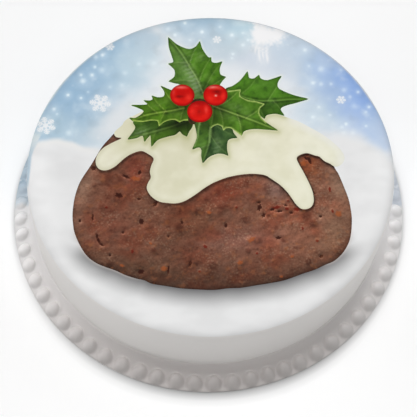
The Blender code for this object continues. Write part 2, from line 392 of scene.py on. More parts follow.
def flake_parts(cx, cy, size, turn):
    """A plain six armed snow crystal, as slim quads and a hexagon."""
    squash = 0.84
    parts = []

    def quad(x0, y0, x1, y1, w0, w1):
        dx, dy = x1 - x0, y1 - y0
        n = math.hypot(dx, dy)
        nx, ny = -dy / n, dx / n
        q = np.array([(x0 + nx * w0, y0 + ny * w0), (x1 + nx * w1, y1 + ny * w1),
                      (x1 - nx * w1, y1 - ny * w1), (x0 - nx * w0, y0 - ny * w0)])
        q[:, 1] *= squash
        parts.append(q + np.array([cx, cy]))
    w = size * 0.062
    for k in range(6):
        a = math.radians(turn + 60 * k)
        c, s = math.cos(a), math.sin(a)
        quad(0, 0, size * c, size * s, w, w)
        for at, ln in ((0.40, 0.30), (0.60, 0.32), (0.80, 0.22)):
            for sgn in (-1, 1):
                b = a + sgn * math.radians(58)
                x0, y0 = size * at * c, size * at * s
                quad(x0, y0, x0 + size * ln * math.cos(b), y0 + size * ln * math.sin(b), w, w * 0.9)
    hexa = np.array([(size * 0.26 * math.cos(math.radians(turn + 60 * k + 30)),
                      size * 0.26 * math.sin(math.radians(turn + 60 * k + 30)) * squash) for k in range(6)])
    parts.append(hexa + np.array([cx, cy]))
    return parts


# ---------------------------------------------------------------- painting (colours as seen, 0-255)
def patch(uv, cx, cy, rx, ry, turn=0.0, hard=1.6):
    """A soft patch with a flat middle."""
    c, s = math.cos(math.radians(turn)), math.sin(math.radians(turn))
    dx, dy = uv[:, 0] - cx, uv[:, 1] - cy
    a, b = (dx * c + dy * s) / rx, (-dx * s + dy * c) / ry
    return np.exp(-(a * a + b * b) ** hard)


def snow_line(x):
    """Height of the snow's horizon across the picture."""
    left = 150.5 - 11.5 * np.exp(-((x - 54) / 30.0) ** 2) + 0.010 * np.clip(x - 92, 0, None) ** 2
    right = 134 + 0.0085 * np.clip(x - 335, 0, None) ** 2
    t = smooth01((x - 120) / 160.0)
    return left * (1 - t) + right * t


def paint_ground(uv):
    x, y = uv[:, 0], uv[:, 1]
    w = np.stack([x + 8.0 * fbm(x / 24.0, y / 20.0, 3), y + 7.0 * fbm(x / 22.0 + 9.0, y / 19.0 + 4.0, 3)], -1)
    col = np.tile(np.array([228.0, 232.0, 236.0]), (len(uv), 1))
    col = mixc(col, (199, 214, 228), 0.95 * patch(w, 296, 42, 46, 32, 24))
    col = mixc(col, (199, 213, 223), 0.90 * patch(w, 216, 44, 34, 17))
    col = mixc(col, (182, 203, 224), 0.95 * patch(w, 322, 74, 29, 27, 30))
    col = mixc(col, (197, 214, 227), 0.90 * patch(w, 324, 114, 30, 19, 10))
    col = mixc(col, (190, 213, 224), 0.97 * patch(w, 122, 60, 36, 30, -30))
    col = mixc(col, (190, 208, 219), 0.92 * patch(w, 92, 128, 48, 20, -12))
    col = mixc(col, (192, 208, 219), 0.92 * patch(w, 150, 38, 28, 16, -24))
    col = mixc(col, (152, 184, 210), 0.98 * patch(w, 76, 80, 74, 42, -50))
    col = mixc(col, (170, 196, 213), 0.92 * patch(w, 50, 126, 30, 18))
    col = mixc(col, (187, 214, 226), 0.92 * patch(w, 241, 22, 22, 19))
    col = mixc(col, (164, 192, 212), 0.97 * patch(w, 198, 16, 38, 22))
    col = mixc(col, (141, 173, 226), 0.98 * patch(w, 362, 88, 54, 34, 47))
    col = mixc(col, (168, 194, 228), 0.88 * patch(w, 384, 124, 24, 17))
    # drifting paleness, finer and finer
    n = fbm(x / 17.0 + 3.1, y / 14.0, 4)
    col = mixc(col, (232, 239, 243), 0.30 * smooth01((n - 0.06) * 1.9))
    col = col * (1.0 - 0.035 * smooth01((-n - 0.05) * 2.2))[:, None]
    # paler and deeper places
    col = mixc(col, (180, 204, 219), 0.50 * patch(w, 132, 82, 15, 10, -20))
    col = mixc(col, (206, 222, 230), 0.45 * patch(w, 128, 60, 24, 13, -30))
    col = mixc(col, (192, 209, 229), 0.50 * patch(w, 328, 60, 13, 10, 20))
    col = mixc(col, (188, 205, 213), 0.45 * patch(w, 231, 52, 16, 13))
    col = mixc(col, (232, 242, 245), 0.40 * patch(w, 243, 20, 10, 7))
    col = mixc(col, (228, 230, 232), 0.85 * patch(w, 116, 120, 27, 11, -42))
    col = mixc(col, (199, 210, 224), 0.55 * patch(w, 262, 64, 40, 15, 10))
    col = mixc(col, (168, 191, 222), 0.60 * patch(w, 330, 92, 20, 14, 40))
    col = mixc(col, (193, 209, 231), 0.70 * patch(w, 380, 132, 18, 10, 50))
    # sheen behind the holly
    col = mixc(col, (233, 235, 238), 0.85 * patch(uv, 220, 92, 62, 32) * smooth01((y - 48) / 34.0))
    # a frosty patch high up on the right, with threads hanging from it
    ragged = 0.30 * noise2(x / 2.1, y / 2.4) + 0.30 * noise2(x / 4.6 + 7, y / 5.2)
    frost = (0.95 * patch(uv, 259, 33, 8.5, 17, 3, 1.2) + 0.85 * patch(uv, 272, 37, 12, 9.0, 10, 1.2)
             + 0.55 * patch(uv, 280, 32, 9, 6, 24, 1.2))
    frost = 0.95 * smooth01(frost * 1.20 + ragged - 0.14)
    for (tx, t0, t1, wd) in ((255.8, 42, 58, 1.2), (259.4, 44, 66, 1.5), (263.2, 44, 64, 1.2), (267.0, 44, 67, 1.7), (252.2, 38, 51, 0.9)):
        fade = smooth01((y - t0) / 4.0) * smooth01((t1 - y) / 9.0)
        frost = np.maximum(frost, 0.80 * fade * np.exp(-((x - tx - 0.5 * np.sin(y / 3.0)) / wd) ** 2))
    frost = np.maximum(frost, 0.46 * patch(uv, 262, 54, 8, 12) * (0.7 + 0.5 * noise2(x / 2.4, y / 5.0)))
    col = mixc(col, (248, 247, 247), np.clip(frost, 0, 0.96))
    col = mixc(col, (236, 237, 238), 0.55 * patch(uv, 157, 30, 7, 5, 30, 1.1) + 0.30 * patch(uv, 166, 37, 6, 5))
    # a soft glow round each big snow crystal
    for (cx, cy, size, _) in FLAKES:
        d2 = ((x - cx) ** 2 + ((y - cy) / 0.86) ** 2) / (size * size)
        col = mixc(col, (232, 236, 239), 0.46 * np.exp(-(d2 / 0.85) ** 2.5))
    # soft specks of falling snow
    speck = np.zeros(len(uv))
    for (cx, cy, r, k) in DOTS:
        d2 = ((x - cx) ** 2 + ((y - cy) / 0.9) ** 2) / (r * r)
        speck = np.maximum(speck, k * np.exp(-d2 * 0.8))
        speck = np.maximum(speck, 0.34 * k * np.exp(-d2 * 0.14))
    col = mixc(col, (240, 250, 255), speck)
    # the snow
    edge = y - snow_line(x) + 1.6 * noise2(x / 13.0, x * 0 + 4.0)
    wid = np.where(x < 110, 3.0, 8.0)
    snow = smooth01(edge / wid * 0.5 + 0.5)
    col = mixc(col, (231, 231, 231), snow * 0.98)
    col = mixc(col, (238, 238, 235), 0.35 * np.exp(-((edge - 3.0) / 3.0) ** 2) * (x < 120))
    drift = fbm(x / 46.0 + 8, y / 24.0 + 2, 3)
    col = col * (1.0 - 0.030 * snow * smooth01(0.4 + 1.5 * drift))[:, None]
    # the pudding's own shadow on the snow
    d, _, _ = near_line(uv, PUDDING, True)
    under = smooth01((y - 239) / 20.0)
    sh = 0.50 * np.clip(1 - d / 22.0, 0, 1) ** 1.6 * under
    sh = sh * (1.0 - 0.15 * smooth01((108 - x) / 16.0) - 0.12 * smooth01((x - 322) / 16.0))
    side = 0.10 * np.clip(1 - d / 8.0, 0, 1) ** 1.6 * smooth01((y - 227) / 14.0)
    sh = np.maximum(sh, side)
    col = col * np.stack([1 - sh, 1 - sh * 1.005, 1 - sh], -1)
    ends = smooth01((150 - x) / 24.0) + smooth01((x - 318) / 14.0)
    col = mixc(col, (216, 204, 196), 0.50 * np.exp(-(d / 1.5) ** 2) * ends * smooth01((y - 222) / 14.0))
    close = (x > 126) & (x < 314) & (y > 32) & (y < 122)
    if close.any():
        some = uv[close]
        dl = np.minimum(np.minimum(near_line(some, LEAF_TOP, True)[0], near_line(some, LEAF_RIGHT_BACK, True)[0]),
                        near_line(some, LEAF_LEFT, True)[0])
        col[close] = mixc(col[close], (228, 236, 222), 0.55 * np.exp(-((dl - 0.6) / 1.1) ** 2))
    return col


def paint_flake(uv):
    return mixc(paint_ground(uv), (240, 241, 242), np.full(len(uv), 0.80))


# random lumps in the pudding, one to a cell
_cell = np.random.RandomState(5).uniform(0, 1, (96, 96, 4))


def lumps(x, y, size):
    u, v = x / size, y / size
    iu, iv = np.floor(u).astype(int), np.floor(v).astype(int)
    height = np.zeros(len(x))
    tone = np.zeros(len(x))
    best = np.full(len(x), 9.0)
    for a in (-1, 0, 1):
        for b in (-1, 0, 1):
            cu, cv = (iu + a) % 96, (iv + b) % 96
            q = _cell[cu, cv]
            d2 = ((u - iu - a - q[:, 0]) ** 2 + (v - iv - b - q[:, 1]) ** 2) / (0.35 + 0.5 * q[:, 2]) ** 2
            height += (q[:, 3] - 0.35) * np.exp(-d2 * 2.2)
            near = d2 < best
            best = np.where(near, d2, best)
            tone = np.where(near, q[:, 3] * np.exp(-d2 * 1.2), tone)
    return height, tone


def crumb_height(x, y):
    h1, _ = lumps(x, y, 13.0)
    h2, _ = lumps(x + 40.0, y + 20.0, 6.2)
    h = 2.3 * h1 + 0.75 * h2 + 0.8 * fbm(x / 14.0 + 2, y / 11.0, 2) + 0.22 * fbm(x / 3.4, y / 3.0, 2)
    for (bx, by, ba, bb, bt, kind) in BITS:
        m = (np.abs(x - bx) < 12) & (np.abs(y - by) < 12)
        if m.any():
            g = blob(np.stack([x[m], y[m]], -1), bx, by, ba * 1.25, bb * 1.25, bt)
            h[m] += (-1.7 if kind == "pit" else (1.1 if kind == "peel" else 0.9)) * g
    return h


def paint_pudding(uv):
    x, y = uv[:, 0], uv[:, 1]
    col = np.tile(np.array([118.0, 78.0, 61.0]), (len(uv), 1))
    big = fbm(x / 36.0, y / 28.0, 3)
    mid = fbm(x / 12.0 + 5, y / 10.0 + 3, 3)
    _, t1 = lumps(x, y, 13.0)
    _, t2 = lumps(x + 40.0, y + 20.0, 6.2)
    col = mixc(col, (118, 60, 42), 0.62 * smooth01(0.30 + 1.7 * big))
    col = mixc(col, (120, 87, 72), 0.55 * smooth01(0.15 + 1.6 * mid))
    col = mixc(col, (78, 40, 29), 0.65 * smooth01((t1 - 0.45) * 2.2))
    col = mixc(col, (140, 84, 52), 0.50 * smooth01((t2 - 0.62) * 3.4))
    col = mixc(col, (72, 34, 24), 0.50 * smooth01((fbm(x / 8.0 + 9, y / 7.0 + 1, 3) - 0.26) * 3.0))
    # sheen and warm places
    col = mixc(col, (149, 122, 102), 0.66 * blob(uv, 341, 188, 10, 24, -18))
    col = mixc(col, (131, 106, 84), 0.50 * blob(uv, 334, 236, 14, 26, 14))
    col = mixc(col, (136, 108, 92), 0.12 * blob(uv, 322, 206, 14, 26, -10))
    col = mixc(col, (150, 119, 100), 0.72 * blob(uv, 85, 185, 8, 25, 26))
    col = mixc(col, (138, 108, 90), 0.52 * blob(uv, 79, 214, 7, 26, 2))
    col = mixc(col, (136, 104, 84), 0.22 * blob(uv, 93, 252, 5, 14, -38))
    col = mixc(col, (118, 96, 90), 0.66 * blob(uv, 276, 190, 13, 9, 40))
    col = mixc(col, (134, 70, 40), 0.60 * blob(uv, 309, 166, 10, 13, -20))
    col = mixc(col, (126, 58, 44), 0.62 * blob(uv, 136, 168, 15, 14))
    col = mixc(col, (128, 56, 40), 0.60 * blob(uv, 222, 194, 24, 11, -16))
    col = mixc(col, (118, 80, 74), 0.40 * blob(uv, 236, 240, 40, 14, -6))
    col = mixc(col, (116, 66, 52), 0.45 * blob(uv, 110, 226, 26, 18, 20))
    col = mixc(col, (124, 66, 50), 0.12 * blob(uv, 104, 200, 20, 16, 20))
    col = mixc(col, (112, 86, 66), 0.45 * blob(uv, 150, 268, 46, 9, 12))
    # small grains, pale and dark, a few of them greenish
    grain = fbm(x / 1.9 + 11, y / 1.7 + 5, 2)
    col = mixc(col, (158, 132, 108), 0.42 * smooth01((grain - 0.10) * 3.2) * smooth01(0.45 + 1.4 * fbm(x / 22.0, y / 19.0 + 8, 2)))
    col = mixc(col, (72, 42, 33), 0.26 * smooth01((-grain - 0.14) * 3.2))
    col = col * (1.0 - patch(uv, 192, 222, 28, 22)[:, None] * np.array([0.06, 0.10, 0.14]))
    col = col * (1.0 - 0.10 * patch(uv, 172, 246, 17, 14))[:, None]
    # the right and middle catch more light
    glow = 0.15 * patch(uv, 300, 212, 42, 46, 10, 1.3) + 0.10 * patch(uv, 262, 180, 24, 12) + 0.10 * patch(uv, 252, 250, 60, 22)
    col = col * (1.0 + glow)[:, None]
    # relief: light comes from above and a little from the left
    e = 0.55
    gx = (crumb_height(x + e, y) - crumb_height(x - e, y)) / (2 * e)
    gy = (crumb_height(x, y + e) - crumb_height(x, y - e)) / (2 * e)
    light = 0.35 * gx + 0.95 * gy
    col = col * (1.0 + 0.44 * np.clip(light, -0.9, 0.9))[:, None]
    glint = np.clip(light - 0.34, 0, 0.6)
    col = mixc(col, (184, 156, 138), 0.50 * glint)
    # rounding: darker down at the foot and close to the outline
    d, _, _ = near_line(uv, PUDDING, True)
    foot = smooth01((y - 236) / 48.0)
    col = col * (1.0 - 0.20 * foot - 0.22 * np.exp(-(d / 5.0)) * smooth01((y - 210) / 40.0))[:, None]
    col = col * (1.0 - 0.22 * np.exp(-(d / 1.4)))[:, None]
    # shade cast by the sauce just below its edge
    up = uv - np.array([0.5, 1.5])
    ds, _, _ = near_line(up, SAUCE, True)
    hard = 0.30 + 0.26 * smooth01((x - 236) / 26.0) + 0.10 * smooth01((150 - x) / 12.0)
    col = col * (1.0 - hard * np.exp(-(ds / 1.25) ** 1.6))[:, None]
    d2, _, _ = near_line(uv, SAUCE, True)
    return col * (1.0 - 0.12 * np.exp(-(d2 / 5.0)))[:, None]


def paint_bit(bit):
    bx, by, ba, bb, bt, kind = bit

    def paint(uv):
        base = paint_pudding(uv)
        c, s = math.cos(math.radians(bt)), math.sin(math.radians(bt))
        dx, dy = uv[:, 0] - bx, uv[:, 1] - by
        rho = np.hypot((dx * c + dy * s) / ba, (-dx * s + dy * c) / bb)
        deep = smooth01(1.25 - rho)
        if kind == "pit":
            col = mixc(base, (50, 20, 13), 0.55 + 0.38 * deep)
            return mixc(col, (140, 84, 60), 0.22 * smooth01((dy / bb - 0.35) * 1.6))
        if kind == "plum":
            return mixc(base, (104, 26, 16), 0.45 + 0.40 * deep)
        return mixc(base, (166, 84, 42), 0.30 + 0.40 * deep)
    return paint


def paint_sauce(uv):
    x, y = uv[:, 0], uv[:, 1]
    col = np.tile(np.array([227.0, 224.0, 199.0]), (len(uv), 1))
    col = mixc(col, (217, 214, 188), 0.85 * patch(uv, 152, 172, 46, 34, 0, 1.2))
    col = mixc(col, (213, 211, 181), 0.55 * blob(uv, 182, 178, 18, 24, 10))
    col = mixc(col, (232, 230, 208), 0.60 * blob(uv, 262, 158, 40, 20, -6))
    col = mixc(col, (237, 236, 219), 0.80 * blob(uv, 322, 142, 30, 20, 34))
    col = mixc(col, (234, 233, 212), 0.70 * blob(uv, 303, 190, 9, 22, -24))
    col = mixc(col, (221, 217, 196), 0.50 * blob(uv, 112, 160, 12, 9, -30))
    col = mixc(col, (210, 206, 178), 0.50 * blob(uv, 128, 126, 9, 12, 20))
    n = fbm(x / 18.0 + 2, y / 15.0 + 9, 3)
    col = mixc(col, (213, 211, 182), 0.32 * smooth01(0.30 + 1.7 * n))
    col = mixc(col, (238, 236, 216), 0.30 * smooth01(0.10 - 1.7 * n))
    # folds running down from the holly
    fold = np.sin((x + 0.35 * y) / 5.2 + 1.6 * fbm(x / 30.0, y / 26.0, 2)) * patch(uv, 250, 150, 56, 22) * 0.5
    col = col * (1.0 + 0.012 * fold)[:, None]
    d, _, _ = near_line(uv, SAUCE, True)
    low = smooth01((y - 128) / 26.0)
    # the thick edge: a soft light along it, then a darker turn
    col = mixc(col, (236, 235, 216), 0.34 * np.exp(-((d - 5.0) / 3.2) ** 2) * low)
    col = mixc(col, (200, 196, 168), 0.40 * np.exp(-(d / 1.3) ** 1.5) * low)
    col = mixc(col, (206, 203, 176), 0.35 * np.exp(-((d - 1.5) / 2.4) ** 2) * low * smooth01((196 - x) / 30.0))
    # the far right end and the top right edge fade into the sky's glow
    fade = np.maximum(smooth01((x - 330) / 15.0), smooth01(1.0 - d / 10.0) * smooth01((x - 280) / 16.0)
                      * smooth01((153 - y) / 16.0 + 0.5 * smooth01((x - 320) / 20)))
    col = mixc(col, (232, 232, 224), 0.80 * fade)
    # soft green-grey shade of the holly on the sauce
    sh = np.zeros(len(uv))
    for leaf in (LEAF_LEFT_LOW, LEAF_BOTTOM, LEAF_RIGHT, LEAF_RIGHT_BACK):
        moved = uv - np.array([0.8, 1.6])
        dl, _, _ = near_line(moved, leaf, True)
        sh = np.maximum(sh, np.exp(-(dl / 2.4) ** 1.4))
    col = mixc(col, (188, 186, 146), 0.50 * patch(uv, 166, 137, 28, 9, -4, 1.3) + 0.25 * patch(uv, 124, 146, 12, 8, -30)
               + 0.30 * patch(uv, 188, 142, 8, 9))
    return mixc(col, (172, 174, 118), 0.46 * sh)


def leaf_painter(raw, outline, midrib, left, right, light, dark, edge, edge_lines=None, shade=(), sheen=()):
    rib = curve([(p[0], p[1]) for p in midrib], 1.2, False)
    seg = np.concatenate([[0], np.cumsum(np.linalg.norm(np.diff(rib, axis=0), axis=1))])
    veins = []
    for p in raw:
        if len(p) < 3:
            continue
        tip = np.array(p[:2], float)
        dd = np.linalg.norm(rib - tip, axis=1)
        k = int(dd.argmin())
        if dd[k] < 4.5:
            continue
        at = max(0.0, seg[k] - 0.62 * dd[k])
        start = np.array([np.interp(at, seg, rib[:, 0]), np.interp(at, seg, rib[:, 1])])
        along = rib[min(k, len(rib) - 1)] - start
        mid = 0.52 * start + 0.48 * tip + 0.10 * along
        end = start + (tip - start) * 0.94
        veins.append(curve([tuple(start), tuple(mid), tuple(end)], 1.2, False))

    def paint(uv):
        x, y = uv[:, 0], uv[:, 1]
        d, along, side = near_line(uv, rib, False)
        t = smooth01(0.5 + 0.5 * side * np.clip(d / 1.2, 0, 1))[:, None]
        col = np.array(left, float) * (1 - t) + np.array(right, float) * t
        de, _, _ = near_line(uv, outline, True)
        n = fbm(x / 9.0 + 4, y / 9.0, 3)
        col = mixc(col, light, 0.42 * smooth01((n - 0.02) * 2.4))
        col = mixc(col, dark, 0.55 * smooth01((-n - 0.05) * 2.6))
        fine = fbm(x / 2.8, y / 2.8 + 6, 2)
        col = col * (1.0 + 0.07 * fine)[:, None]
        for v in veins:
            dv, av, sv = near_line(uv, v, False)
            keep = 1.0 - 0.5 * av
            col = col * (1.0 + keep * (0.13 * np.exp(-((dv * sv - 2.8) / 2.2) ** 2)
                                       - 0.13 * np.exp(-((dv * sv + 1.6) / 1.4) ** 2)))[:, None]
            col = mixc(col, edge, 0.50 * (1.0 - 0.35 * av) * np.exp(-(dv / 0.50) ** 2))
        # the groove beside the rib, then the pale rib
        col = col * (1.0 - 0.22 * np.exp(-((d - 1.7) / 1.1) ** 2))[:, None]
        col = mixc(col, edge, 0.74 * np.exp(-(d / 0.6) ** 2) * (1 - 0.4 * along))
        col = mixc(col, dark, 0.40 * np.exp(-(de / 1.5) ** 1.6))
        # a fine net of small pale veins, and a dull sheen in streaks along them
        net = np.abs(fbm(x / 4.6 + 3 * left[0] / 50.0, y / 4.6, 2))
        col = mixc(col, light, 0.16 * smooth01((0.10 - net) / 0.10) * smooth01((de - 1.6) / 2.0))
        for (cx, cy, rx, ry, turn, k) in sheen:
            col = mixc(col, (158, 178, 140), k * blob(uv, cx, cy, rx, ry, turn)
                       * (0.75 + 0.35 * np.sin((x * 0.35 + y) * 1.5 + 2.5 * fine)))
        for (cx, cy, r, k) in shade:
            col = col * (1.0 - k * np.exp(-(((x - cx) ** 2 + (y - cy) ** 2) / (r * r))))[:, None]
        if edge_lines is not None:
            ew = np.zeros(len(uv))
            for line in edge_lines:
                dd, _, _ = near_line(uv, np.array(line, float), False)
                ew = np.maximum(ew, 0.95 * np.exp(-(dd / 0.85) ** 2))
            col = mixc(col, edge, ew)
        return col
    return paint


# light and dark places on each berry: x, y, half width, half height (in radii), colour, strength
BERRY_LOOKS = [
    [(0.10, -0.20, 0.62, 0.34, (176, 10, 8), 0.55), (0.50, 0.22, 0.30, 0.34, (240, 56, 44), 0.80),
     (-0.50, 0.42, 0.34, 0.26, (234, 44, 34), 0.70), (0.05, 0.60, 0.50, 0.20, (226, 34, 24), 0.50),
     (-0.12, -0.74, 0.60, 0.14, (240, 128, 118), 0.80), (-0.72, -0.30, 0.14, 0.36, (232, 96, 86), 0.45),
     (-0.26, 0.12, 0.27, 0.13, (118, 8, 7), 0.80), (0.05, 0.10, 0.30, 0.10, (150, 8, 8), 0.40)],
    [(-0.42, 0.30, 0.36, 0.36, (238, 44, 32), 0.75), (0.62, 0.10, 0.22, 0.36, (240, 52, 42), 0.75),
     (0.10, 0.62, 0.50, 0.18, (228, 36, 26), 0.50), (-0.28, -0.76, 0.52, 0.15, (240, 146, 134), 0.85),
     (0.36, -0.66, 0.34, 0.12, (226, 86, 74), 0.50), (0.12, -0.32, 0.34, 0.17, (112, 8, 7), 0.78),
     (0.30, -0.10, 0.20, 0.14, (142, 8, 8), 0.55), (0.03, 0.05, 0.11, 0.09, (252, 196, 184), 0.90)],
    [(0.0, -0.80, 0.80, 0.30, (150, 8, 8), 0.60), (-0.56, 0.00, 0.28, 0.42, (238, 50, 40), 0.70),
     (0.50, -0.16, 0.16, 0.38, (244, 72, 60), 0.85), (0.44, 0.42, 0.36, 0.26, (230, 36, 26), 0.60),
     (-0.10, 0.66, 0.50, 0.18, (230, 34, 24), 0.60), (0.02, 0.04, 0.30, 0.30, (176, 26, 18), 0.55),
     (-0.06, -0.02, 0.10, 0.14, (146, 12, 10), 0.50), (-0.30, -0.52, 0.26, 0.12, (222, 60, 50), 0.45)],
]


def paint_berry(cx, cy, rx, ry, looks):
    def paint(uv):
        dx, dy = (uv[:, 0] - cx) / rx, (uv[:, 1] - cy) / ry
        r = np.hypot(dx, dy)
        col = np.tile(np.array([204.0, 14.0, 8.0]), (len(uv), 1))
        for (bx, by, wide, high, tint, much) in looks:
            g = np.exp(-(((dx - bx) / wide) ** 2 + ((dy - by) / high) ** 2))
            col = mixc(col, tint, much * g)
        col = col * (1.0 + 0.05 * fbm(uv[:, 0] / 2.6, uv[:, 1] / 2.6 + cx, 2))[:, None]
        # it turns away, darker, at the rim, most on the right and below
        turn = 0.50 + 0.30 * smooth01(0.5 + 0.6 * (dx + dy))
        col = mixc(col, (128, 6, 7), turn * smooth01((r - 0.74) / 0.30))
        return mixc(col, (98, 14, 12), 0.35 * smooth01((r - 0.93) / 0.09))
    return paint


def paint_gap(uv):
    n = fbm(uv[:, 0] / 3.0, uv[:, 1] / 3.0, 2)
    return mixc(np.tile(np.array([66.0, 58.0, 32.0]), (len(uv), 1)), (46, 30, 18), smooth01(0.5 + n))


EDGE_RIGHT = [[(228, 91.4), (240.3, 89.6), (240, 96.2), (247.8, 100.4), (256, 101.6), (264.4, 104),
               (259.6, 108.4), (259, 113.2), (261.6, 118.2), (266, 122.6)],
              [(210.8, 128), (213.6, 125.8), (217.6, 124.5), (221.8, 126.2), (223.5, 130.2), (226, 127.6),
               (231.0, 128.0), (236.8, 132.0), (241.6, 135.2)]]
EDGE_BOTTOM = [[(200.2, 119.6), (198.6, 128), (197.6, 137), (194.4, 146.2)], [(210.4, 127.6), (209.6, 134), (209.4, 142)]]
EDGE_LEFT = [[(133.2, 120.8), (143, 121.6), (151, 120.2), (158, 120.8), (159.4, 126), (164.6, 121.8), (170, 119.8),
              (175.4, 119.6), (180, 122), (184, 120.2), (190, 119.6)]]

# ---------------------------------------------------------------- the layers, bottom to top
LAYERS = []                      # (outline in the picture, painter, masks for the surface's grain)


def layer(outline, painter, kind):
    LAYERS.append((np.asarray(outline, float), painter, kind))


for f in FLAKES:
    for part in flake_parts(*f):
        layer(part, paint_flake, "plain")
layer(PUDDING, paint_pudding, "crumb")
for bit in BITS:
    (bx, by, ba, bb, bt, kind) = bit
    rough = ellipse(bx, by, ba, bb, 14, bt)
    ang = np.arange(14)
    rough = (rough - (bx, by)) * (1 + 0.22 * np.sin(ang * 2.4 + bx) + 0.14 * np.sin(ang * 4.1 + by))[:, None] + (bx, by)
    layer(rough, paint_bit(bit), "crumb")
layer(SAUCE, paint_sauce, "sauce")
layer(LEAF_LEFT_LOW, leaf_painter(RAW["left_low"], LEAF_LEFT_LOW, MIDRIB["left_low"], (74, 111, 31), (54, 86, 24),
                                  (102, 142, 52), (40, 64, 18), (118, 148, 68), None,
                                  ((178, 124, 11, 0.45), (188, 120, 12, 0.5), (161, 128, 9, 0.10)), ((141, 132, 10, 5, -20, 0.46), (158, 131, 8, 3, -20, 0.14))), "leaf")
layer(LEAF_BOTTOM, leaf_painter(RAW["bottom"], LEAF_BOTTOM, MIDRIB["bottom"], (57, 85, 43), (74, 112, 38),
                                (104, 136, 70), (34, 60, 28), (124, 154, 88), EDGE_BOTTOM,
                                ((206, 122, 11, 0.40),), ((217, 148, 4, 11, 8, 0.36), (202, 146, 4, 9, 10, 0.12))), "leaf")
layer(LEAF_RIGHT_BACK, leaf_painter(RAW["right_back"], LEAF_RIGHT_BACK, MIDRIB["right_back"], (72, 119, 30),
                                    (58, 95, 27), (94, 142, 46), (42, 74, 20), (138, 174, 86), None,
                                    ((236, 102, 13, 0.20), (264, 109, 9, 0.12)), ((262, 84, 16, 5, 4, 0.08), (272, 102, 8, 5, 0, 0.12))), "leaf")
layer(LEAF_LEFT, leaf_painter(RAW["left"], LEAF_LEFT, MIDRIB["left"], (78, 118, 26), (70, 108, 22),
                              (104, 146, 42), (44, 74, 16), (176, 198, 98), EDGE_LEFT,
                              ((185, 107, 11, 0.34), (172, 118, 10, 0.05)), ((158, 104, 14, 4, -20, 0.14), (176, 114, 10, 4, 4, 0.14))), "leaf")
layer(LEAF_TOP, leaf_painter(RAW["top"], LEAF_TOP, MIDRIB["top"], (82, 120, 48), (72, 116, 28),
                             (112, 152, 66), (46, 80, 22), (156, 182, 108), None,
                             ((184, 92, 9, 0.20), (208, 92, 10, 0.35)),
                             ((187, 56, 8, 9, 0, 0.20), (190, 74, 5, 12, -30, 0.62), (196, 88, 6, 9, -20, 0.55), (201, 56, 5, 5, 0, 0.30))), "leaf")
layer(LEAF_RIGHT, leaf_painter(RAW["right"], LEAF_RIGHT, MIDRIB["right"], (74, 116, 30), (72, 112, 28),
                               (100, 144, 50), (44, 76, 20), (186, 206, 116), EDGE_RIGHT,
                               ((217, 106, 11, 0.40), (214, 120, 9, 0.25)),
                               ((236, 107, 15, 4, 16, 0.22), (230, 117, 13, 4, 20, 0.20), (250, 117, 10, 3, 30, 0.10))), "leaf")
layer(ellipse(198.8, 103.4, 8.4, 4.9, 22), paint_gap, "leaf")
layer(ellipse(192.6, 118.6, 4.6, 6.0, 18), paint_gap, "leaf")
for k, b in enumerate(BERRIES):
    layer(ellipse(b[0], b[1], b[2], b[3], 40), paint_berry(b[0], b[1], b[2], b[3], BERRY_LOOKS[k]), "berry")


# ---------------------------------------------------------------- the sheet's mesh
EDGE_ARC = 1.47                                   # how far down the shoulder the sheet goes, radians
EDGE_S = FLAT_R + SHOULDER * EDGE_ARC
RIM = 360


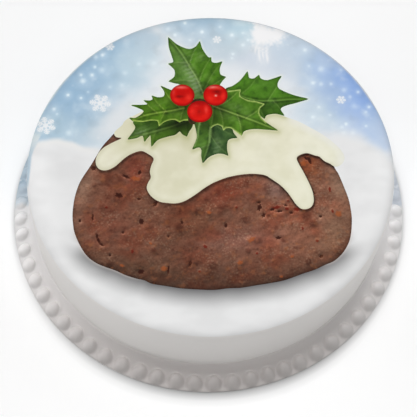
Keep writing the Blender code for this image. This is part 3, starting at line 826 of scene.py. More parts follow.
def sheet_points():
    pts, edges = [], []

    def add_loop(loop):
        base = len(pts)
        pts.extend([tuple(p) for p in loop])
        n = len(loop)
        edges.extend([(base + i, base + (i + 1) % n) for i in range(n)])

    rim = np.stack([EDGE_S * np.cos(np.arange(RIM) * 2 * math.pi / RIM),
                    EDGE_S * np.sin(np.arange(RIM) * 2 * math.pi / RIM)], -1)
    add_loop(rim)
    for outline, _, _ in LAYERS:
        add_loop(picture_to_plan(outline))
    held = np.array(pts)

    # fine points inside the drawn part, wider ones in the sky and the snow
    free = []

    def hexgrid(step, keep):
        rows = int(0.21 / (step * 0.866)) + 2
        ys = (np.arange(rows) - rows / 2) * step * 0.866
        for j, yy in enumerate(ys):
            xs = (np.arange(int(0.21 / step) + 2) - 0.21 / step / 2) * step + (0.5 * step if j % 2 else 0)
            free.append(np.stack([xs, np.full(len(xs), yy)], -1)[keep(xs, np.full(len(xs), yy))])
    core = [picture_to_plan(curve([(66, 150), (66, 260), (120, 290), (200, 305), (300, 292), (362, 250), (362, 170),
                                   (330, 118), (312, 96), (285, 66), (225, 36), (160, 30), (150, 84), (120, 100),
                                   (110, 130)], 6.0))]

    def in_core(xs, ys):
        return inside(np.stack([xs, ys], -1), core[0])

    def out_core(xs, ys):
        return ~in_core(xs, ys) & (np.hypot(xs, ys) < EDGE_S - 0.0008)
    hexgrid(0.00062, in_core)
    hexgrid(0.00125, out_core)
    free = np.concatenate(free)
    # rings of points round each soft speck
    ringp = []
    for (cx, cy, r, k) in DOTS:
        ringp.append(np.array([[cx, cy]]))
        for m in (0.8, 1.7):
            ringp.append(ellipse(cx, cy, r * m, r * m * 0.9, 8 if m < 1 else 12))
    ringp = picture_to_plan(np.concatenate(ringp))
    ringp = ringp[np.hypot(ringp[:, 0], ringp[:, 1]) < EDGE_S - 0.0006]

    # drop free points that crowd an outline point or a speck's ring
    def thin(cloud, fixed, gap):
        cell = gap
        table = {}
        for p in fixed:
            table.setdefault((int(p[0] // cell), int(p[1] // cell)), []).append(p)
        out = []
        for p in cloud:
            ix, iy = int(p[0] // cell), int(p[1] // cell)
            ok = True
            for a in (-1, 0, 1):
                for b in (-1, 0, 1):
                    for q in table.get((ix + a, iy + b), ()):
                        if (p[0] - q[0]) ** 2 + (p[1] - q[1]) ** 2 < gap * gap:
                            ok = False
                            break
                    if not ok:
                        break
                if not ok:
                    break
            if ok:
                out.append(p)
        return np.array(out)
    ringp = thin(ringp, held, 0.00030)
    free = thin(free, np.concatenate([held, ringp]), 0.00034)
    allp = np.concatenate([held, ringp, free])
    return allp, edges


def rim_tint(col, plan, place):
    """Behind the middle the sky's colour also runs along the shoulder's lower part."""
    a = (np.hypot(plan[:, 0], plan[:, 1]) - FLAT_R) / SHOULDER
    x, y = place[:, 0], place[:, 1]
    start = np.interp(y, [0.004, 0.020, 0.040, 0.060], [1.70, 1.10, 0.66, 0.60])
    t = smooth01((a - start) / 0.24) * smooth01((y - SEAM_Y - SEAM * x) / 0.002)
    seen = to_picture(place)
    hill = np.interp(seen[:, 1], [126, 134, 142.3, 149.4, 156.6, 171, 185, 192, 207],
                     [44, 41, 37.6, 33.8, 31.4, 30.0, 28.2, 26.2, 24.2])
    t = np.maximum(t, smooth01((hill - seen[:, 0]) / 1.8 + 0.5) * smooth01((seen[:, 1] - 128) / 10.0)
                   * smooth01((207 - seen[:, 1]) / 5.0) * (x < 0))
    n = 0.5 + 0.5 * noise2(np.arctan2(y, x) * 40.0, a * 3.0)
    left = mixc(np.tile(np.array([176.0, 196.0, 211.0]), (len(col), 1)), (206, 217, 222), smooth01((160 - seen[:, 1]) / 22.0) + 0.35 * n)
    right = mixc(np.tile(np.array([200.0, 206.0, 214.0]), (len(col), 1)), (212, 217, 224), n)
    side = smooth01(x / 0.06 + 0.5)[:, None]
    return mixc(col, 0, t) + (left * (1 - side) + right * side) * t[:, None]


def painted_shoulder_light(plan):
    """Painted light and shade on the shoulder: lighter over the front and the front sides, darker along the right rim.
    """
    a = (np.hypot(plan[:, 0], plan[:, 1]) - FLAT_R) / SHOULDER
    front = -plan[:, 1] / np.maximum(np.hypot(plan[:, 0], plan[:, 1]), 1e-6)
    middle = np.interp(a, [-0.3, 0.0, 0.1, 0.35, 0.52, 0.73, 0.90, 1.10, 1.25, 1.45],
                       [0.0, 0.005, 0.015, 0.055, 0.10, 0.155, 0.18, 0.15, 0.10, 0.03])
    sides = np.interp(a, [-0.2, 0.0, 0.1, 0.35, 0.52, 0.73, 0.90, 1.10, 1.25, 1.45],
                      [0.0, 0.0, 0.01, 0.06, 0.10, 0.12, 0.10, 0.06, 0.03, 0.0])
    t = smooth01((front - 0.80) / 0.17)
    out = (middle * t + sides * (1 - t)) * smooth01((front - 0.42) / 0.33)
    turn = np.degrees(np.arctan2(plan[:, 1], np.abs(plan[:, 0])))
    left = np.interp(a, [-0.9, -0.4, 0.0, 0.3, 1.1, 1.35, 1.47], [0.0, 0.03, 0.08, 0.10, 0.10, 0.06, 0.03])
    right = np.interp(a, [-1.6, -0.9, -0.3, 0.0, 0.45, 0.7, 0.87, 1.0, 1.2, 1.47],
                      [0.0, 0.03, 0.06, 0.09, 0.12, 0.09, 0.05, 0.0, -0.04, 0.0])
    # painted shade: darker along the rim on the right
    rim = np.interp(a, [0.6, 0.8, 1.0, 1.3, 1.47], [0.0, -0.06, -0.12, -0.16, -0.12])
    out += left * np.exp(-((turn + 9) / 20.0) ** 2) * (plan[:, 0] < 0)
    out += right * np.exp(-((turn + 12) / 14.0) ** 2) * (plan[:, 0] > 0)
    return out + rim * np.exp(-((turn - 8) / 10.0) ** 2) * (plan[:, 0] > 0)


def build_sheet():
    pts, edges = sheet_points()
    scale = 1000.0                                # millimetres, for the triangulation's tolerance
    out = delaunay_2d_cdt([Vector((p[0] * scale, p[1] * scale)) for p in pts], edges, [], 0, 1e-4)
    verts = np.array([(v[0] / scale, v[1] / scale) for v in out[0]])
    tris = np.array([f for f in out[2] if len(f) == 3])
    rad = np.hypot(verts[:, 0], verts[:, 1])
    # counter-clockwise from above
    a, b, c = verts[tris[:, 0]], verts[tris[:, 1]], verts[tris[:, 2]]
    area = (b[:, 0] - a[:, 0]) * (c[:, 1] - a[:, 1]) - (b[:, 1] - a[:, 1]) * (c[:, 0] - a[:, 0])
    tris[area < 0] = tris[area < 0][:, ::-1]
    tris = tris[np.abs(area) > 1e-14]
    mid = verts[tris].mean(1)

    which = np.full(len(tris), -1)
    for k, (outline, _, _) in enumerate(LAYERS):
        which[inside(mid, picture_to_plan(outline))] = k

    top = plan_to_cake(verts)
    uv = to_picture(top)

    col = np.zeros((len(tris), 3, 3))
    grain = np.zeros((len(tris), 3))              # how much crumb texture
    for k in range(-1, len(LAYERS)):
        rows = np.where(which == k)[0]
        if len(rows) == 0:
            continue
        ids, back = np.unique(tris[rows], return_inverse=True)
        painter = paint_ground if k < 0 else LAYERS[k][1]
        c = painter(uv[ids])
        if k < 0:
            c = rim_tint(c, verts[ids], top[ids])
        # painted light and shade on the shoulder, multiplied into the print's colours
        c = np.minimum(lin(np.clip(c, 0, 255)) * (1.0 + painted_shoulder_light(verts[ids]))[:, None], 0.985)
        col[rows] = c[back.reshape(-1)].reshape(len(rows), 3, 3)
        if k >= 0 and LAYERS[k][2] == "crumb":
            grain[rows] = 1.0

    # closing underside: rings that follow the shoulder, then a flat disc
    rim_ids = []
    on_rim = np.where(rad > EDGE_S - 1e-6)[0]
    order = on_rim[np.argsort(np.arctan2(verts[on_rim, 1], verts[on_rim, 0]))]
    n = len(order)
    coords = [top]
    base = len(top)
    loops = [order]
    ang = np.arctan2(verts[order, 1], verts[order, 0])
    for s in (EDGE_S - 0.0002, FLAT_R + SHOULDER * 0.9, FLAT_R + SHOULDER * 0.45, FLAT_R, 0.05):
        ring = plan_to_cake(np.stack([s * np.cos(ang), s * np.sin(ang)], -1), 0.0006)
        coords.append(ring)
        loops.append(np.arange(base, base + n))
        base += n
    mid_low = plan_to_cake(np.array([[0.0, 0.0]]), 0.0006)
    coords.append(mid_low)
    low_tris = []
    for lo, hi in zip(loops[:-1], loops[1:]):
        for i in range(n):
            j = (i + 1) % n
            low_tris.append((lo[j], lo[i], hi[i]))
            low_tris.append((lo[j], hi[i], hi[j]))
    for i in range(n):
        j = (i + 1) % n
        low_tris.append((loops[-1][j], loops[-1][i], base))
    low_tris = np.array(low_tris)
    coords = np.concatenate(coords)
    faces = np.concatenate([tris, low_tris])

    mesh = bpy.data.meshes.new("top_print")
    mesh.from_pydata(coords.tolist(), [], faces.tolist())
    mesh.update()
    allcol = np.ones((len(faces) * 3, 4))
    allcol[:, :3] = lin((231, 231, 231))
    allcol[:len(tris) * 3, :3] = col.reshape(-1, 3)
    attr = mesh.color_attributes.new("ink", "FLOAT_COLOR", "CORNER")
    attr.data.foreach_set("color", allcol.astype(np.float32).ravel())
    g = mesh.attributes.new("crumb", "FLOAT", "CORNER")
    allg = np.zeros(len(faces) * 3)
    allg[:len(tris) * 3] = grain.ravel()
    g.data.foreach_set("value", allg.astype(np.float32))
    # a flat map of the unrolled sheet
    plan = np.concatenate([verts, np.zeros((len(coords) - len(verts), 2))])
    plan_low = coords[len(verts):, :2]
    plan[len(verts):] = plan_low * 0.2 + np.array([0.0, 0.0])
    uvs = np.zeros((len(faces) * 3, 2))
    idx = faces.ravel()
    uvs[:, 0] = plan[idx, 0] / (2 * EDGE_S) * 0.985 + 0.5
    uvs[:, 1] = plan[idx, 1] / (2 * EDGE_S) * 0.985 + 0.5
    low = slice(len(tris) * 3, None)
    uvs[low] = np.array([0.03, 0.03]) + coords[idx[low], :2] * 0.2
    layer_uv = mesh.uv_layers.new(name="OFBake")
    layer_uv.data.foreach_set("uv", uvs.astype(np.float32).ravel())
    mesh.shade_smooth()
    obj = bpy.data.objects.new("top_print", mesh)
    bpy.context.scene.collection.objects.link(obj)
    return obj


# ---------------------------------------------------------------- turned meshes
def turned(name, rows, n, uv_of=None, phase=0.0):
    """rows: list of (radius array or number, height array or number) from top to bottom.
    A first or last row of radius 0 becomes one point."""
    th = phase + np.arange(n) * 2 * math.pi / n
    coords, loops = [], []
    base = 0
    for (r, z) in rows:
        if np.ndim(r) == 0 and r == 0:
            coords.append(np.array([[0.0, 0.0, float(z)]]))
            loops.append([base])
            base += 1
        else:
            r = np.broadcast_to(r, n)
            z = np.broadcast_to(z, n)
            coords.append(np.stack([r * np.cos(th), r * np.sin(th), z], -1))
            loops.append(list(range(base, base + n)))
            base += n
    faces, info = [], []
    for k, (a, b) in enumerate(zip(loops[:-1], loops[1:])):
        for i in range(n):
            j = (i + 1) % n
            if len(a) == 1:
                faces.append((a[0], b[i], b[j]))
                info.append((k, i, (0, 1, 1), (0.5, 0, 1)))
            elif len(b) == 1:
                faces.append((a[j], a[i], b[0]))
                info.append((k, i, (0, 0, 1), (1, 0, 0.5)))
            else:
                faces.append((a[j], a[i], b[i], b[j]))
                info.append((k, i, (0, 0, 1, 1), (1, 0, 0, 1)))
    coords = np.concatenate(coords)
    mesh = bpy.data.meshes.new(name)
    mesh.from_pydata(coords.tolist(), [], faces)
    mesh.update()
    if uv_of is not None:
        uvl = mesh.uv_layers.new(name="OFBake")
        data = []
        for (k, i, dk, di) in info:
            for kk, ii in zip(dk, di):
                data.append(uv_of(k + kk, i, ii))
        uvl.data.foreach_set("uv", np.array(data, np.float32).ravel())
    mesh.shade_smooth()
    obj = bpy.data.objects.new(name, mesh)
    bpy.context.scene.collection.objects.link(obj)
    return obj


def periodic_noise(th, freqs, seed):
    rs = np.random.RandomState(seed)
    out = np.zeros_like(th)
    for f in freqs:
        out += rs.uniform(0.4, 1.0) * np.cos(f * th + rs.uniform(0, 6.28)) / len(freqs)
    return out


# Painted light and shade in the icing's colour: darker towards the front right and lighter at the left, as brightness
# by the angle round the cake, in degrees from +X.
PAINTED_SHADING_AT = (180, 192, 205, 220, 235, 250, 270, 285, 300, 315, 330, 345, 360)
PAINTED_SHADING_WALL = (1.15, 1.05, 0.96, 0.965, 0.96, 0.955, 0.96, 0.92, 0.885, 0.88, 0.895, 1.02, 1.15)
PAINTED_SHADING_FOOT = (1.00, 0.98, 1.00, 0.99, 0.90, 0.87, 0.95, 0.96, 0.98, 0.97, 0.98, 1.00, 1.00)
PAINTED_SHADING_CREASE = (1.05, 1.01, 1.03, 0.99, 0.92, 0.86, 0.88, 0.87, 0.77, 0.69, 0.75, 0.95, 1.05)
PAINTED_SHADING_BAND = (1.06, 1.05, 1.04, 1.02, 0.95, 0.86, 0.83, 0.80, 0.72, 0.70, 0.82, 0.91, 1.03)
PAINTED_SHADING_PEARL = (1.08, 1.06, 1.05, 0.95, 0.89, 0.92, 0.85, 0.80, 0.74, 0.80, 0.88, 1.02, 1.05)
PAINTED_SHADING_OUTER = (0.95, 0.92, 0.96, 0.84, 0.83, 0.86, 0.87, 0.80, 0.77, 0.77, 0.89, 0.98, 0.98)


def painted_shading_at(angle, table):
    deg = np.degrees(angle) % 360.0
    knots = np.concatenate([[0.0, 40.0, 140.0], PAINTED_SHADING_AT])
    values = np.concatenate([[table[-1], 1.0, 1.0], table])
    total = 0.0
    for shift in (-6.0, -3.0, 0.0, 3.0, 6.0):
        total = total + np.interp((deg + shift) % 360.0, knots, values)
    return total / 5.0


def build_body():
    n = 420
    th = np.arange(n) * 2 * math.pi / n
    wob = 0.00016 * periodic_noise(th, (2, 3, 5, 7, 11, 13), 4)
    rows = [(0.0, TOP_Z - 0.0008)]
    for r in (0.03, 0.06, 0.085):
        rows.append((r, TOP_Z - 0.0008))
    for k in range(0, 17):
        a = math.radians(90 * (1 - k / 16))
        rad = SHOULDER - 0.0008 + 0.00073 * smooth01((k - 7) / 4.0)
        rows.append((FLAT_R + rad * math.cos(a), ARC_Z + rad * math.sin(a)))
    low, high = 0.0010, ARC_Z - 0.001
    steps = 22
    for k in range(steps + 1):
        t = k / steps
        z = high + (low - high) * t
        belly = 0.00025 * math.sin(math.pi * min(1.0, t * 1.1)) - 0.00005
        ripple = 0.00006 * periodic_noise(th + 0.8 * t, (9, 14, 17, 23), 9)
        rows.append((WALL_R - 0.0001 + belly + wob * smooth01(t * 4) + ripple * smooth01(t * 4), z))
    rows += [(WALL_R - 0.0006, 0.0002), (WALL_R - 0.0016, 0.0), (0.07, 0.0), (0.0, 0.0)]
    total = len(rows)
    bands = 4

    def uv_of(row, i, di):
        pos = (i + di) / n * bands
        band = int(i / n * bands)
        u = 0.01 + 0.98 * (pos - band)
        v = 0.01 + (band + 0.02 + 0.96 * (1 - row / (total - 1))) / bands * 0.98
        return (u, v)
    obj = turned("icing_coat", rows, n, uv_of)
    co = np.empty(len(obj.data.vertices) * 3, np.float32)
    obj.data.vertices.foreach_get("co", co)
    co = co.reshape(-1, 3)
    angle = np.arctan2(co[:, 1], co[:, 0])
    # painted light and shade on the wall by the angle round the cake: lighter at the left, darker towards the front
    # right and again at the foot, fading out towards the top
    foot = smooth01((0.0150 - co[:, 2]) / 0.0035)
    value = painted_shading_at(angle, PAINTED_SHADING_WALL) * (1 - foot * (1 - painted_shading_at(angle, PAINTED_SHADING_FOOT)))
    value = 1 + (value - 1) * smooth01((TOP_Z - 0.0012 - co[:, 2]) / 0.0080)
    shade = obj.data.attributes.new("painted_shade", "FLOAT", "POINT")
    shade.data.foreach_set("value", value.astype(np.float32))
    drawn = smooth01((co[:, 2] - BORDER_H) / (ARC_Z - BORDER_H)) * smooth01((np.hypot(co[:, 0], co[:, 1]) - 0.05) / 0.04)
    co[:, :2] *= (1.0 - (1.0 - dent_at(co[:, 0], co[:, 1])) * drawn)[:, None]
    co[:, 0] += lean_at(co[:, 2])
    obj.data.vertices.foreach_set("co", co.ravel())
    obj.data.update()
    return obj


def build_border():
    per = 20
    n = PEARLS * per
    th = np.arange(n) * 2 * math.pi / n
    pitch = 2 * math.pi / PEARLS
    # the pearls are piped by hand: along the ring they run a little ahead or behind
    ahead = np.interp(np.degrees(th + PEARL_PHASE) % 360,
                      (0, 60, 120, 184, 196, 208, 226, 250, 274, 284, 291, 298, 304, 316, 330, 345, 360),
                      (-0.05, 0.05, 0.22, 0.33, 0.28, 0.24, 0.215, 0.19, 0.14, 0.07, -0.10, -0.19, -0.17, -0.10, -0.055,
                       -0.05, -0.05))
    seat = th / pitch - ahead                         # pearl middles at whole numbers
    which = np.round(seat).astype(int) % PEARLS
    t = seat - np.round(seat)                         # -0.5 to 0.5
    rs = np.random.RandomState(11)
    tall = 1 + 0.09 * rs.uniform(-1, 1, PEARLS)[which]
    out = 0.00018 * rs.uniform(-1, 1, PEARLS)[which]
    slip = 0.025 * rs.uniform(-1, 1, PEARLS)[which]
    wide = 1 + 0.06 * rs.uniform(-1, 1, PEARLS)[which]
    skew = 0.10 * rs.uniform(-1, 1, PEARLS)[which]
    wob = 0.00014 * periodic_noise(th, (3, 5, 8, 13), 21)

    # section between the pearls: radius and height, from inside the wall outwards
    sect = [(0.0988, 0.0098), (0.0995, 0.01045), (0.1000, 0.01046), (0.1004, 0.0101), (0.1008, 0.0094),
            (0.1012, 0.0086), (0.1017, 0.0077), (0.1022, 0.0069), (0.1027, 0.0062), (0.1033, 0.0055),
            (0.1040, 0.0048), (0.1048, 0.0041), (0.1057, 0.0035), (0.1067, 0.0029), (0.1080, 0.0023), (0.1095, 0.0018),
            (0.1110, 0.0014), (0.1120, 0.0011), (0.1126, 0.0007)]
    dist = [0.0]
    for a, b in zip(sect[:-1], sect[1:]):
        dist.append(dist[-1] + math.hypot(b[0] - a[0], b[1] - a[1]))
    fine = np.concatenate([np.linspace(0, 0.0072, 20, endpoint=False), np.linspace(0.0072, dist[-1], 34)])
    so = np.interp(fine, dist, [s[0] for s in sect])
    sz = np.interp(fine, dist, [s[1] for s in sect])
    for _ in range(2):
        ker = np.array([1, 2, 3, 2, 1.0]) / 9
        so[2:-2] = np.convolve(so, ker, "valid")
        sz[2:-2] = np.convolve(sz, ker, "valid")
    # the pearls' relief over the section: one row for each radius, one column for each angle
    ring = so[:, None] + wob * smooth01((so[:, None] - 0.0998) / 0.002)
    s = (ring - PEARL_MID - out) / PEARL_HALF
    tt = (t + slip + skew * s * 0.12) / (0.405 * wide * (1 - 0.08 * smooth01(-s)))
    body = np.clip(1 - s * s - tt * tt, 0, 1) ** 0.62
    for _ in range(3):
        body = (np.roll(body, 1, 1) + 2 * body + np.roll(body, -1, 1)) / 4
        body[1:-1] = (body[:-2] + 2 * body[1:-1] + body[2:]) / 4
    relief = 0.0037 * tall * body
    across = np.gradient(relief, axis=1) / (ring * (th[1] - th[0]))
    along = np.gradient(relief, axis=0) / np.gradient(so)[:, None]
    turn = th + PEARL_PHASE
    front = np.clip(-np.sin(turn), 0, 1)
    # painted light and shade on the pearls: lighter on the faces turned to the back left, darker in the hollows between
    # them, at the outer edge and towards the front
    facing = -(along * np.sin(turn - 0.60) + across * np.cos(turn - 0.60))
    painted_shade = np.exp(-((s + 0.05) / 0.95) ** 4) * (1 - smooth01(body * 1.7))
    rim = smooth01((s - 0.75) / 0.3)
    shade = (1.0 - (0.17 - 0.11 * front) * painted_shade) * (1 - 0.07 * rim) * (1 - 0.18 * front ** 1.5 * body)
    shade *= 1 - 0.32 * front ** 1.6
    # painted shading by the angle round the cake, for the crease, band, pearls and outer edge
    tables = np.stack([painted_shading_at(turn, k) for k in (PAINTED_SHADING_CREASE, PAINTED_SHADING_BAND, PAINTED_SHADING_PEARL, PAINTED_SHADING_OUTER)])
    for k, radius in enumerate(so):
        place = float(np.interp(radius, (0.1013, 0.1036, 0.1070, 0.1100, 0.1117), (0, 1, 2, 2, 3)))
        low = min(int(place), 2)
        shade[k] *= tables[low] * (1 - (place - low)) + tables[low + 1] * (place - low)
    # less of this painted shading on the back half
    behind = smooth01(np.sin(turn) / 0.04 + 0.5)
    shade = 1 + (shade - 1) * (1 - 0.45 * behind)
    shade *= 1 + (0.30 - 0.21 * front ** 2) * (1 - 0.6 * behind) * np.tanh(1.1 * facing) * smooth01(body * 4)
    rows = [(ring[k] + 0.0002 * body[k] * np.clip(s[k], 0, 1), sz[k] + relief[k]) for k in range(len(so))]
    tone = [shade[k] for k in range(len(so))]
    rows += [(BORDER_R - 0.0001 + 0 * th, 0.0006), (BORDER_R - 0.0002 + 0 * th, 0.0001), (BORDER_R - 0.0006, 0.0),
             (0.1043, 0.0), (0.0992, 0.0), (0.0990, 0.0030), (0.0990, 0.0065), (0.0990, 0.0100)]
    tone += [np.ones(n)] * (len(rows) - len(tone))
    # closed ring: the last row is the first again
    total = len(rows)
    bands = 6

    def uv_of(row, i, di):
        pos = (i + di) / n * bands
        band = int(i / n * bands)
        return (0.01 + 0.98 * (pos - band), 0.01 + (band + 0.02 + 0.96 * (1 - row / (total - 1))) / bands * 0.98)
    obj = turned("pearl_border", rows, n, uv_of, PEARL_PHASE)
    shade = obj.data.attributes.new("painted_shade", "FLOAT", "POINT")
    shade.data.foreach_set("value", np.concatenate([np.broadcast_to(v, n) for v in tone]).astype(np.float32))
    import bmesh
    bm = bmesh.new()
    bm.from_mesh(obj.data)
    bmesh.ops.remove_doubles(bm, verts=bm.verts, dist=0.000005)
    bm.to_mesh(obj.data)
    bm.free()
    obj.data.shade_smooth()
    return obj


# ---------------------------------------------------------------- materials
def new_material(name):
    mat = bpy.data.materials.new(name)
    mat.use_nodes = True
    nt = mat.node_tree
    for node in list(nt.nodes):
        nt.nodes.remove(node)
    out = nt.nodes.new("ShaderNodeOutputMaterial")
    sh = nt.nodes.new("ShaderNodeBsdfPrincipled")
    nt.links.new(sh.outputs[0], out.inputs[0])
    return mat, nt, sh


def math_node(nt, op, a, b=None, clamp=False):
    m = nt.nodes.new("ShaderNodeMath")
    m.operation = op
    m.use_clamp = clamp
    for k, v in enumerate((a, b)):
        if v is None:
            continue
        if isinstance(v, (int, float)):
            m.inputs[k].default_value = v
        else:
            nt.links.new(v, m.inputs[k])
    return m.outputs[0]


def mix_node(nt, fac, a, b, mode="MIX"):
    m = nt.nodes.new("ShaderNodeMix")
    m.data_type = "RGBA"
    m.blend_type = mode
    for sock, v in ((m.inputs[0], fac), (m.inputs[6], a), (m.inputs[7], b)):
        if isinstance(v, (int, float)):
            sock.default_value = v
        elif isinstance(v, tuple):
            sock.default_value = (*v, 1.0) if len(v) == 3 else v
        else:
            nt.links.new(v, sock)
    return m.outputs[2]


def noise_node(nt, coord, scale, detail=3.0, rough=0.5):
    t = nt.nodes.new("ShaderNodeTexNoise")
    t.inputs["Scale"].default_value = scale
    t.inputs["Detail"].default_value = detail
    t.inputs["Roughness"].default_value = rough
    nt.links.new(coord, t.inputs["Vector"])
    return t.outputs["Fac"]


def ramp_node(nt, fac, stops):
    r = nt.nodes.new("ShaderNodeValToRGB")
    el = r.color_ramp.elements
    el[0].position, el[0].color = stops[0][0], (*stops[0][1], 1)
    el[1].position, el[1].color = stops[-1][0], (*stops[-1][1], 1)
    for pos, c in stops[1:-1]:
        e = el.new(pos)
        e.color = (*c, 1)
    nt.links.new(fac, r.inputs[0])
    return r.outputs[0]


def bump_node(nt, height, strength, distance, after=None):
    b = nt.nodes.new("ShaderNodeBump")
    b.inputs["Strength"].default_value = strength
    b.inputs["Distance"].default_value = distance
    nt.links.new(height, b.inputs["Height"])
    if after is not None:
        nt.links.new(after, b.inputs["Normal"])
    return b.outputs[0]


def grey(v):
    return (v, v, v)


def icing_material(name, white, rough, tint_from, tint_to, ring=False):
    mat, nt, sh = new_material(name)
    tc = nt.nodes.new("ShaderNodeTexCoord")
    xyz = nt.nodes.new("ShaderNodeSeparateXYZ")
    nt.links.new(tc.outputs["Object"], xyz.inputs[0])
    # behind the line across the middle the print's sky colour runs down over the icing
    line = math_node(nt, "SUBTRACT", xyz.outputs[1], math_node(nt, "MULTIPLY", xyz.outputs[0], SEAM))
    big = noise_node(nt, tc.outputs["Object"], 70.0, 3.0)
    flecks = noise_node(nt, tc.outputs["Object"], 230.0, 2.0)
    ragged = math_node(nt, "MULTIPLY", math_node(nt, "SUBTRACT", flecks, 0.5), 0.004)
    line = math_node(nt, "ADD", math_node(nt, "SUBTRACT", line, SEAM_Y), ragged)
    if ring:
        back = math_node(nt, "MULTIPLY", line, 420.0, True)
    else:
        # on the wall it comes in slowly, like drifting snow
        drift = math_node(nt, "MULTIPLY", math_node(nt, "SUBTRACT", big, 0.5), 0.030)
        back = math_node(nt, "MULTIPLY", math_node(nt, "ADD", math_node(nt, "ADD", line, drift), 0.026), 27.0, True)
    sky = ramp_node(nt, big, [(0.30, tint_from), (0.70, tint_to)])
    pale = ramp_node(nt, flecks, [(0.58, grey(0)), (0.68, grey(1))])
    sky = mix_node(nt, pale, sky, tuple(lin((218, 226, 232))))
    close = math_node(nt, "MULTIPLY", math_node(nt, "SUBTRACT", 0.015, line), 46.0, True)
    sky = mix_node(nt, close, sky, tuple(lin((226, 230, 233) if ring else (217, 222, 226))))
    across = math_node(nt, "ADD", math_node(nt, "MULTIPLY", xyz.outputs[0], 12.0), 0.5, True)
    sky = mix_node(nt, across, sky, mix_node(nt, pale, tuple(lin((206, 212, 221))), tuple(lin((222, 226, 232)))))
    soft = noise_node(nt, tc.outputs["Object"], 28.0, 3.0)
    base = ramp_node(nt, soft, [(0.3, tuple(c * 0.985 for c in white)), (0.7, white)])
    if ring:
        # painted shade: towards the front the ring is tinted a warmer, darker white
        front = math_node(nt, "MULTIPLY", xyz.outputs[1], -1.0 / BORDER_R, True)
        base = mix_node(nt, front, base, mix_node(nt, 1.0, base, (1.0, 0.943, 0.914), "MULTIPLY"))
    colour = mix_node(nt, back, base, sky)
    # the painted light and shade from the mesh's point attribute is multiplied into the colour
    painted_shade = nt.nodes.new("ShaderNodeAttribute")
    painted_shade.attribute_name = "painted_shade"
    colour = mix_node(nt, 1.0, colour, painted_shade.outputs["Color"], "MULTIPLY")
    nt.links.new(colour, sh.inputs["Base Color"])
    fine = noise_node(nt, tc.outputs["Object"], 900.0, 3.0, 0.6)
    swell = noise_node(nt, tc.outputs["Object"], 60.0, 2.0)
    r = ramp_node(nt, swell, [(0.3, grey(rough - 0.05)), (0.7, grey(rough + 0.05))])
    nt.links.new(r, sh.inputs["Roughness"])
    b1 = bump_node(nt, swell, 0.25, 0.0004)
    b2 = bump_node(nt, fine, 0.12, 0.00006, b1)
    nt.links.new(b2, sh.inputs["Normal"])
    sh.inputs["Specular IOR Level"].default_value = 0.35
    return mat


def print_material():
    mat, nt, sh = new_material("edible_print")
    tc = nt.nodes.new("ShaderNodeTexCoord")
    ink = nt.nodes.new("ShaderNodeVertexColor")
    ink.layer_name = "ink"
    crumb = nt.nodes.new("ShaderNodeAttribute")
    crumb.attribute_name = "crumb"
    fine = noise_node(nt, tc.outputs["Object"], 520.0, 3.0, 0.65)
    tone = ramp_node(nt, fine, [(0.30, (0.62, 0.58, 0.56)), (0.5, (0.98, 0.98, 0.98)), (0.72, (1.34, 1.30, 1.24))])
    speck = noise_node(nt, tc.outputs["Object"], 260.0, 2.0, 0.5)
    orange = ramp_node(nt, speck, [(0.60, grey(0)), (0.70, grey(1))])
    grained = mix_node(nt, 1.0, ink.outputs[0], tone, "MULTIPLY")
    amount = math_node(nt, "MULTIPLY", crumb.outputs["Fac"], 0.42)
    c1 = mix_node(nt, amount, ink.outputs[0], grained)
    c2 = mix_node(nt, math_node(nt, "MULTIPLY", math_node(nt, "MULTIPLY", crumb.outputs["Fac"], orange), 0.22),
                  c1, tuple(lin((150, 92, 56))))
    nt.links.new(c2, sh.inputs["Base Color"])
    sh.inputs["Roughness"].default_value = 0.70
    sh.inputs["Specular IOR Level"].default_value = 0.08
    grain = noise_node(nt, tc.outputs["Object"], 1100.0, 3.0, 0.6)
    nt.links.new(bump_node(nt, grain, 0.10, 0.00005), sh.inputs["Normal"])
    return mat


# ---------------------------------------------------------------- build
coat = build_body()
border = build_border()
sheet = build_sheet()
coat.data.materials.append(icing_material("white_icing_coat", tuple(lin((234, 231, 228))), 0.5,
                                          tuple(lin((165, 186, 203))), tuple(lin((188, 202, 212)))))
border.data.materials.append(icing_material("piped_icing", tuple(lin((240, 239, 239))), 0.48,
                                            tuple(lin((165, 186, 203))), tuple(lin((190, 204, 214))), True))
sheet.data.materials.append(print_material())
for piece, node, slot in ((coat, "cake_body", "white_icing"), (border, "piped_border", "piped_icing"),
                          (sheet, "printed_sheet", "printed_icing")):
    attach(piece, "root")
    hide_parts(node)

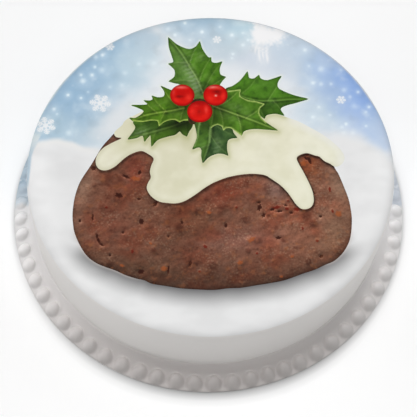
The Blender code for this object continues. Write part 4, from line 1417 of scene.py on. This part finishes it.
# ---------------------------------------------------------------- floor, light, camera
def add_floor():
    mesh = bpy.data.meshes.new("floor")
    h = 3.0
    mesh.from_pydata([(-h, -h, -0.0003), (h, -h, -0.0003), (h, h, -0.0003), (-h, h, -0.0003)], [], [(0, 1, 2, 3)])
    obj = bpy.data.objects.new("floor", mesh)
    bpy.context.scene.collection.objects.link(obj)
    mat, nt, sh = new_material("pale_floor")
    # the light comes from above and behind: a soft shadow lies close along the front of the cake
    tc = nt.nodes.new("ShaderNodeTexCoord")
    xyz = nt.nodes.new("ShaderNodeSeparateXYZ")
    nt.links.new(tc.outputs["Object"], xyz.inputs[0])
    r2 = math_node(nt, "ADD", math_node(nt, "POWER", xyz.outputs[0], 2.0), math_node(nt, "POWER", xyz.outputs[1], 2.0))
    gap = math_node(nt, "SUBTRACT", math_node(nt, "SQRT", r2), BORDER_R)
    ahead = math_node(nt, "MULTIPLY", xyz.outputs[1], -1.0 / BORDER_R, True)
    tight = math_node(nt, "SUBTRACT", 125.0, math_node(nt, "MULTIPLY", ahead, 65.0))
    near = ramp_node(nt, math_node(nt, "MULTIPLY", gap, tight, True),
                     [(0.0, grey(1.0)), (0.078, grey(0.77)), (0.168, grey(0.54)), (0.288, grey(0.22)), (0.52, grey(0.0))])
    front = math_node(nt, "POWER", ahead, 2.3)
    much = math_node(nt, "ADD", math_node(nt, "MULTIPLY", front, 0.475), 0.12)
    # closest to the foot at the two sides it is a little deeper
    to_right = math_node(nt, "MULTIPLY", math_node(nt, "SUBTRACT", xyz.outputs[0], 0.62 * BORDER_R), 2.9 / BORDER_R, True)
    to_left = math_node(nt, "MULTIPLY", math_node(nt, "SUBTRACT", -0.93 * BORDER_R, xyz.outputs[0]), 14.0 / BORDER_R, True)
    sides = math_node(nt, "MULTIPLY", math_node(nt, "MULTIPLY", math_node(nt, "ADD", to_right, to_left), near), 0.25)
    bend = math_node(nt, "MULTIPLY", math_node(nt, "SUBTRACT", xyz.outputs[0], 0.25 * BORDER_R), 4.0 / BORDER_R, True)
    bend = math_node(nt, "MULTIPLY", bend, math_node(nt, "MULTIPLY", math_node(nt, "SUBTRACT", 0.80 * BORDER_R, xyz.outputs[0]), 5.0 / BORDER_R, True))
    sides = math_node(nt, "ADD", sides, math_node(nt, "MULTIPLY", bend, 0.10))
    dark = math_node(nt, "MULTIPLY", near, math_node(nt, "ADD", much, sides))
    tone = mix_node(nt, dark, grey(0.93), grey(0.0))
    glow = mix_node(nt, dark, grey(1.0), grey(0.0))
    nt.links.new(tone, sh.inputs["Base Color"])
    nt.links.new(glow, sh.inputs["Emission Color"])
    sh.inputs["Emission Strength"].default_value = 0.085
    sh.inputs["Roughness"].default_value = 0.9
    sh.inputs["Specular IOR Level"].default_value = 0.1
    mesh.materials.append(mat)


def area_light(name, loc, target, size, power, size_y=None, colour=(1, 1, 1)):
    data = bpy.data.lights.new(name, "AREA")
    data.shape = "RECTANGLE"
    data.size = size
    data.size_y = size_y or size
    data.energy = power
    data.color = colour
    obj = bpy.data.objects.new(name, data)
    bpy.context.scene.collection.objects.link(obj)
    obj.location = loc
    obj.rotation_euler = (Vector(target) - Vector(loc)).to_track_quat("-Z", "Y").to_euler()


add_floor()
world = bpy.data.worlds.new("studio")
bpy.context.scene.world = world
world.use_nodes = True
bg = world.node_tree.nodes["Background"]
bg.inputs[0].default_value = (1.0, 1.0, 1.0, 1)
bg.inputs[1].default_value = 0.10
area_light("overhead", (0.0, 0.0, 1.30), (0, 0, 0.02), 0.8, 9.4)
area_light("over_front", (0.0, -0.60, 1.15), (0, 0, 0.02), 0.8, 3.6)
area_light("back_right", (0.60, 0.80, 0.90), (0, 0, 0.02), 0.8, 1.1)
area_light("left", (-1.10, 0.0, 0.42), (0, 0, 0.02), 0.8, 3.5)
area_light("right", (1.10, 0.0, 0.42), (0, 0, 0.02), 0.8, 2.6)

cam_data = bpy.data.cameras.new("camera")
cam_data.sensor_width = 36.0
cam_data.sensor_fit = "HORIZONTAL"
cam_data.lens = FOCAL_PX / FRAME_PX * 36.0
cam_data.clip_start = 0.01
cam = bpy.data.objects.new("camera", cam_data)
bpy.context.scene.collection.objects.link(cam)
cam.location = Vector(EYE)
cam.rotation_euler = Vector(FWD).to_track_quat("-Z", "Y").to_euler()
bpy.context.scene.camera = cam
bpy.context.scene.view_settings.view_transform = "Standard"
bpy.context.scene.view_settings.look = "None"
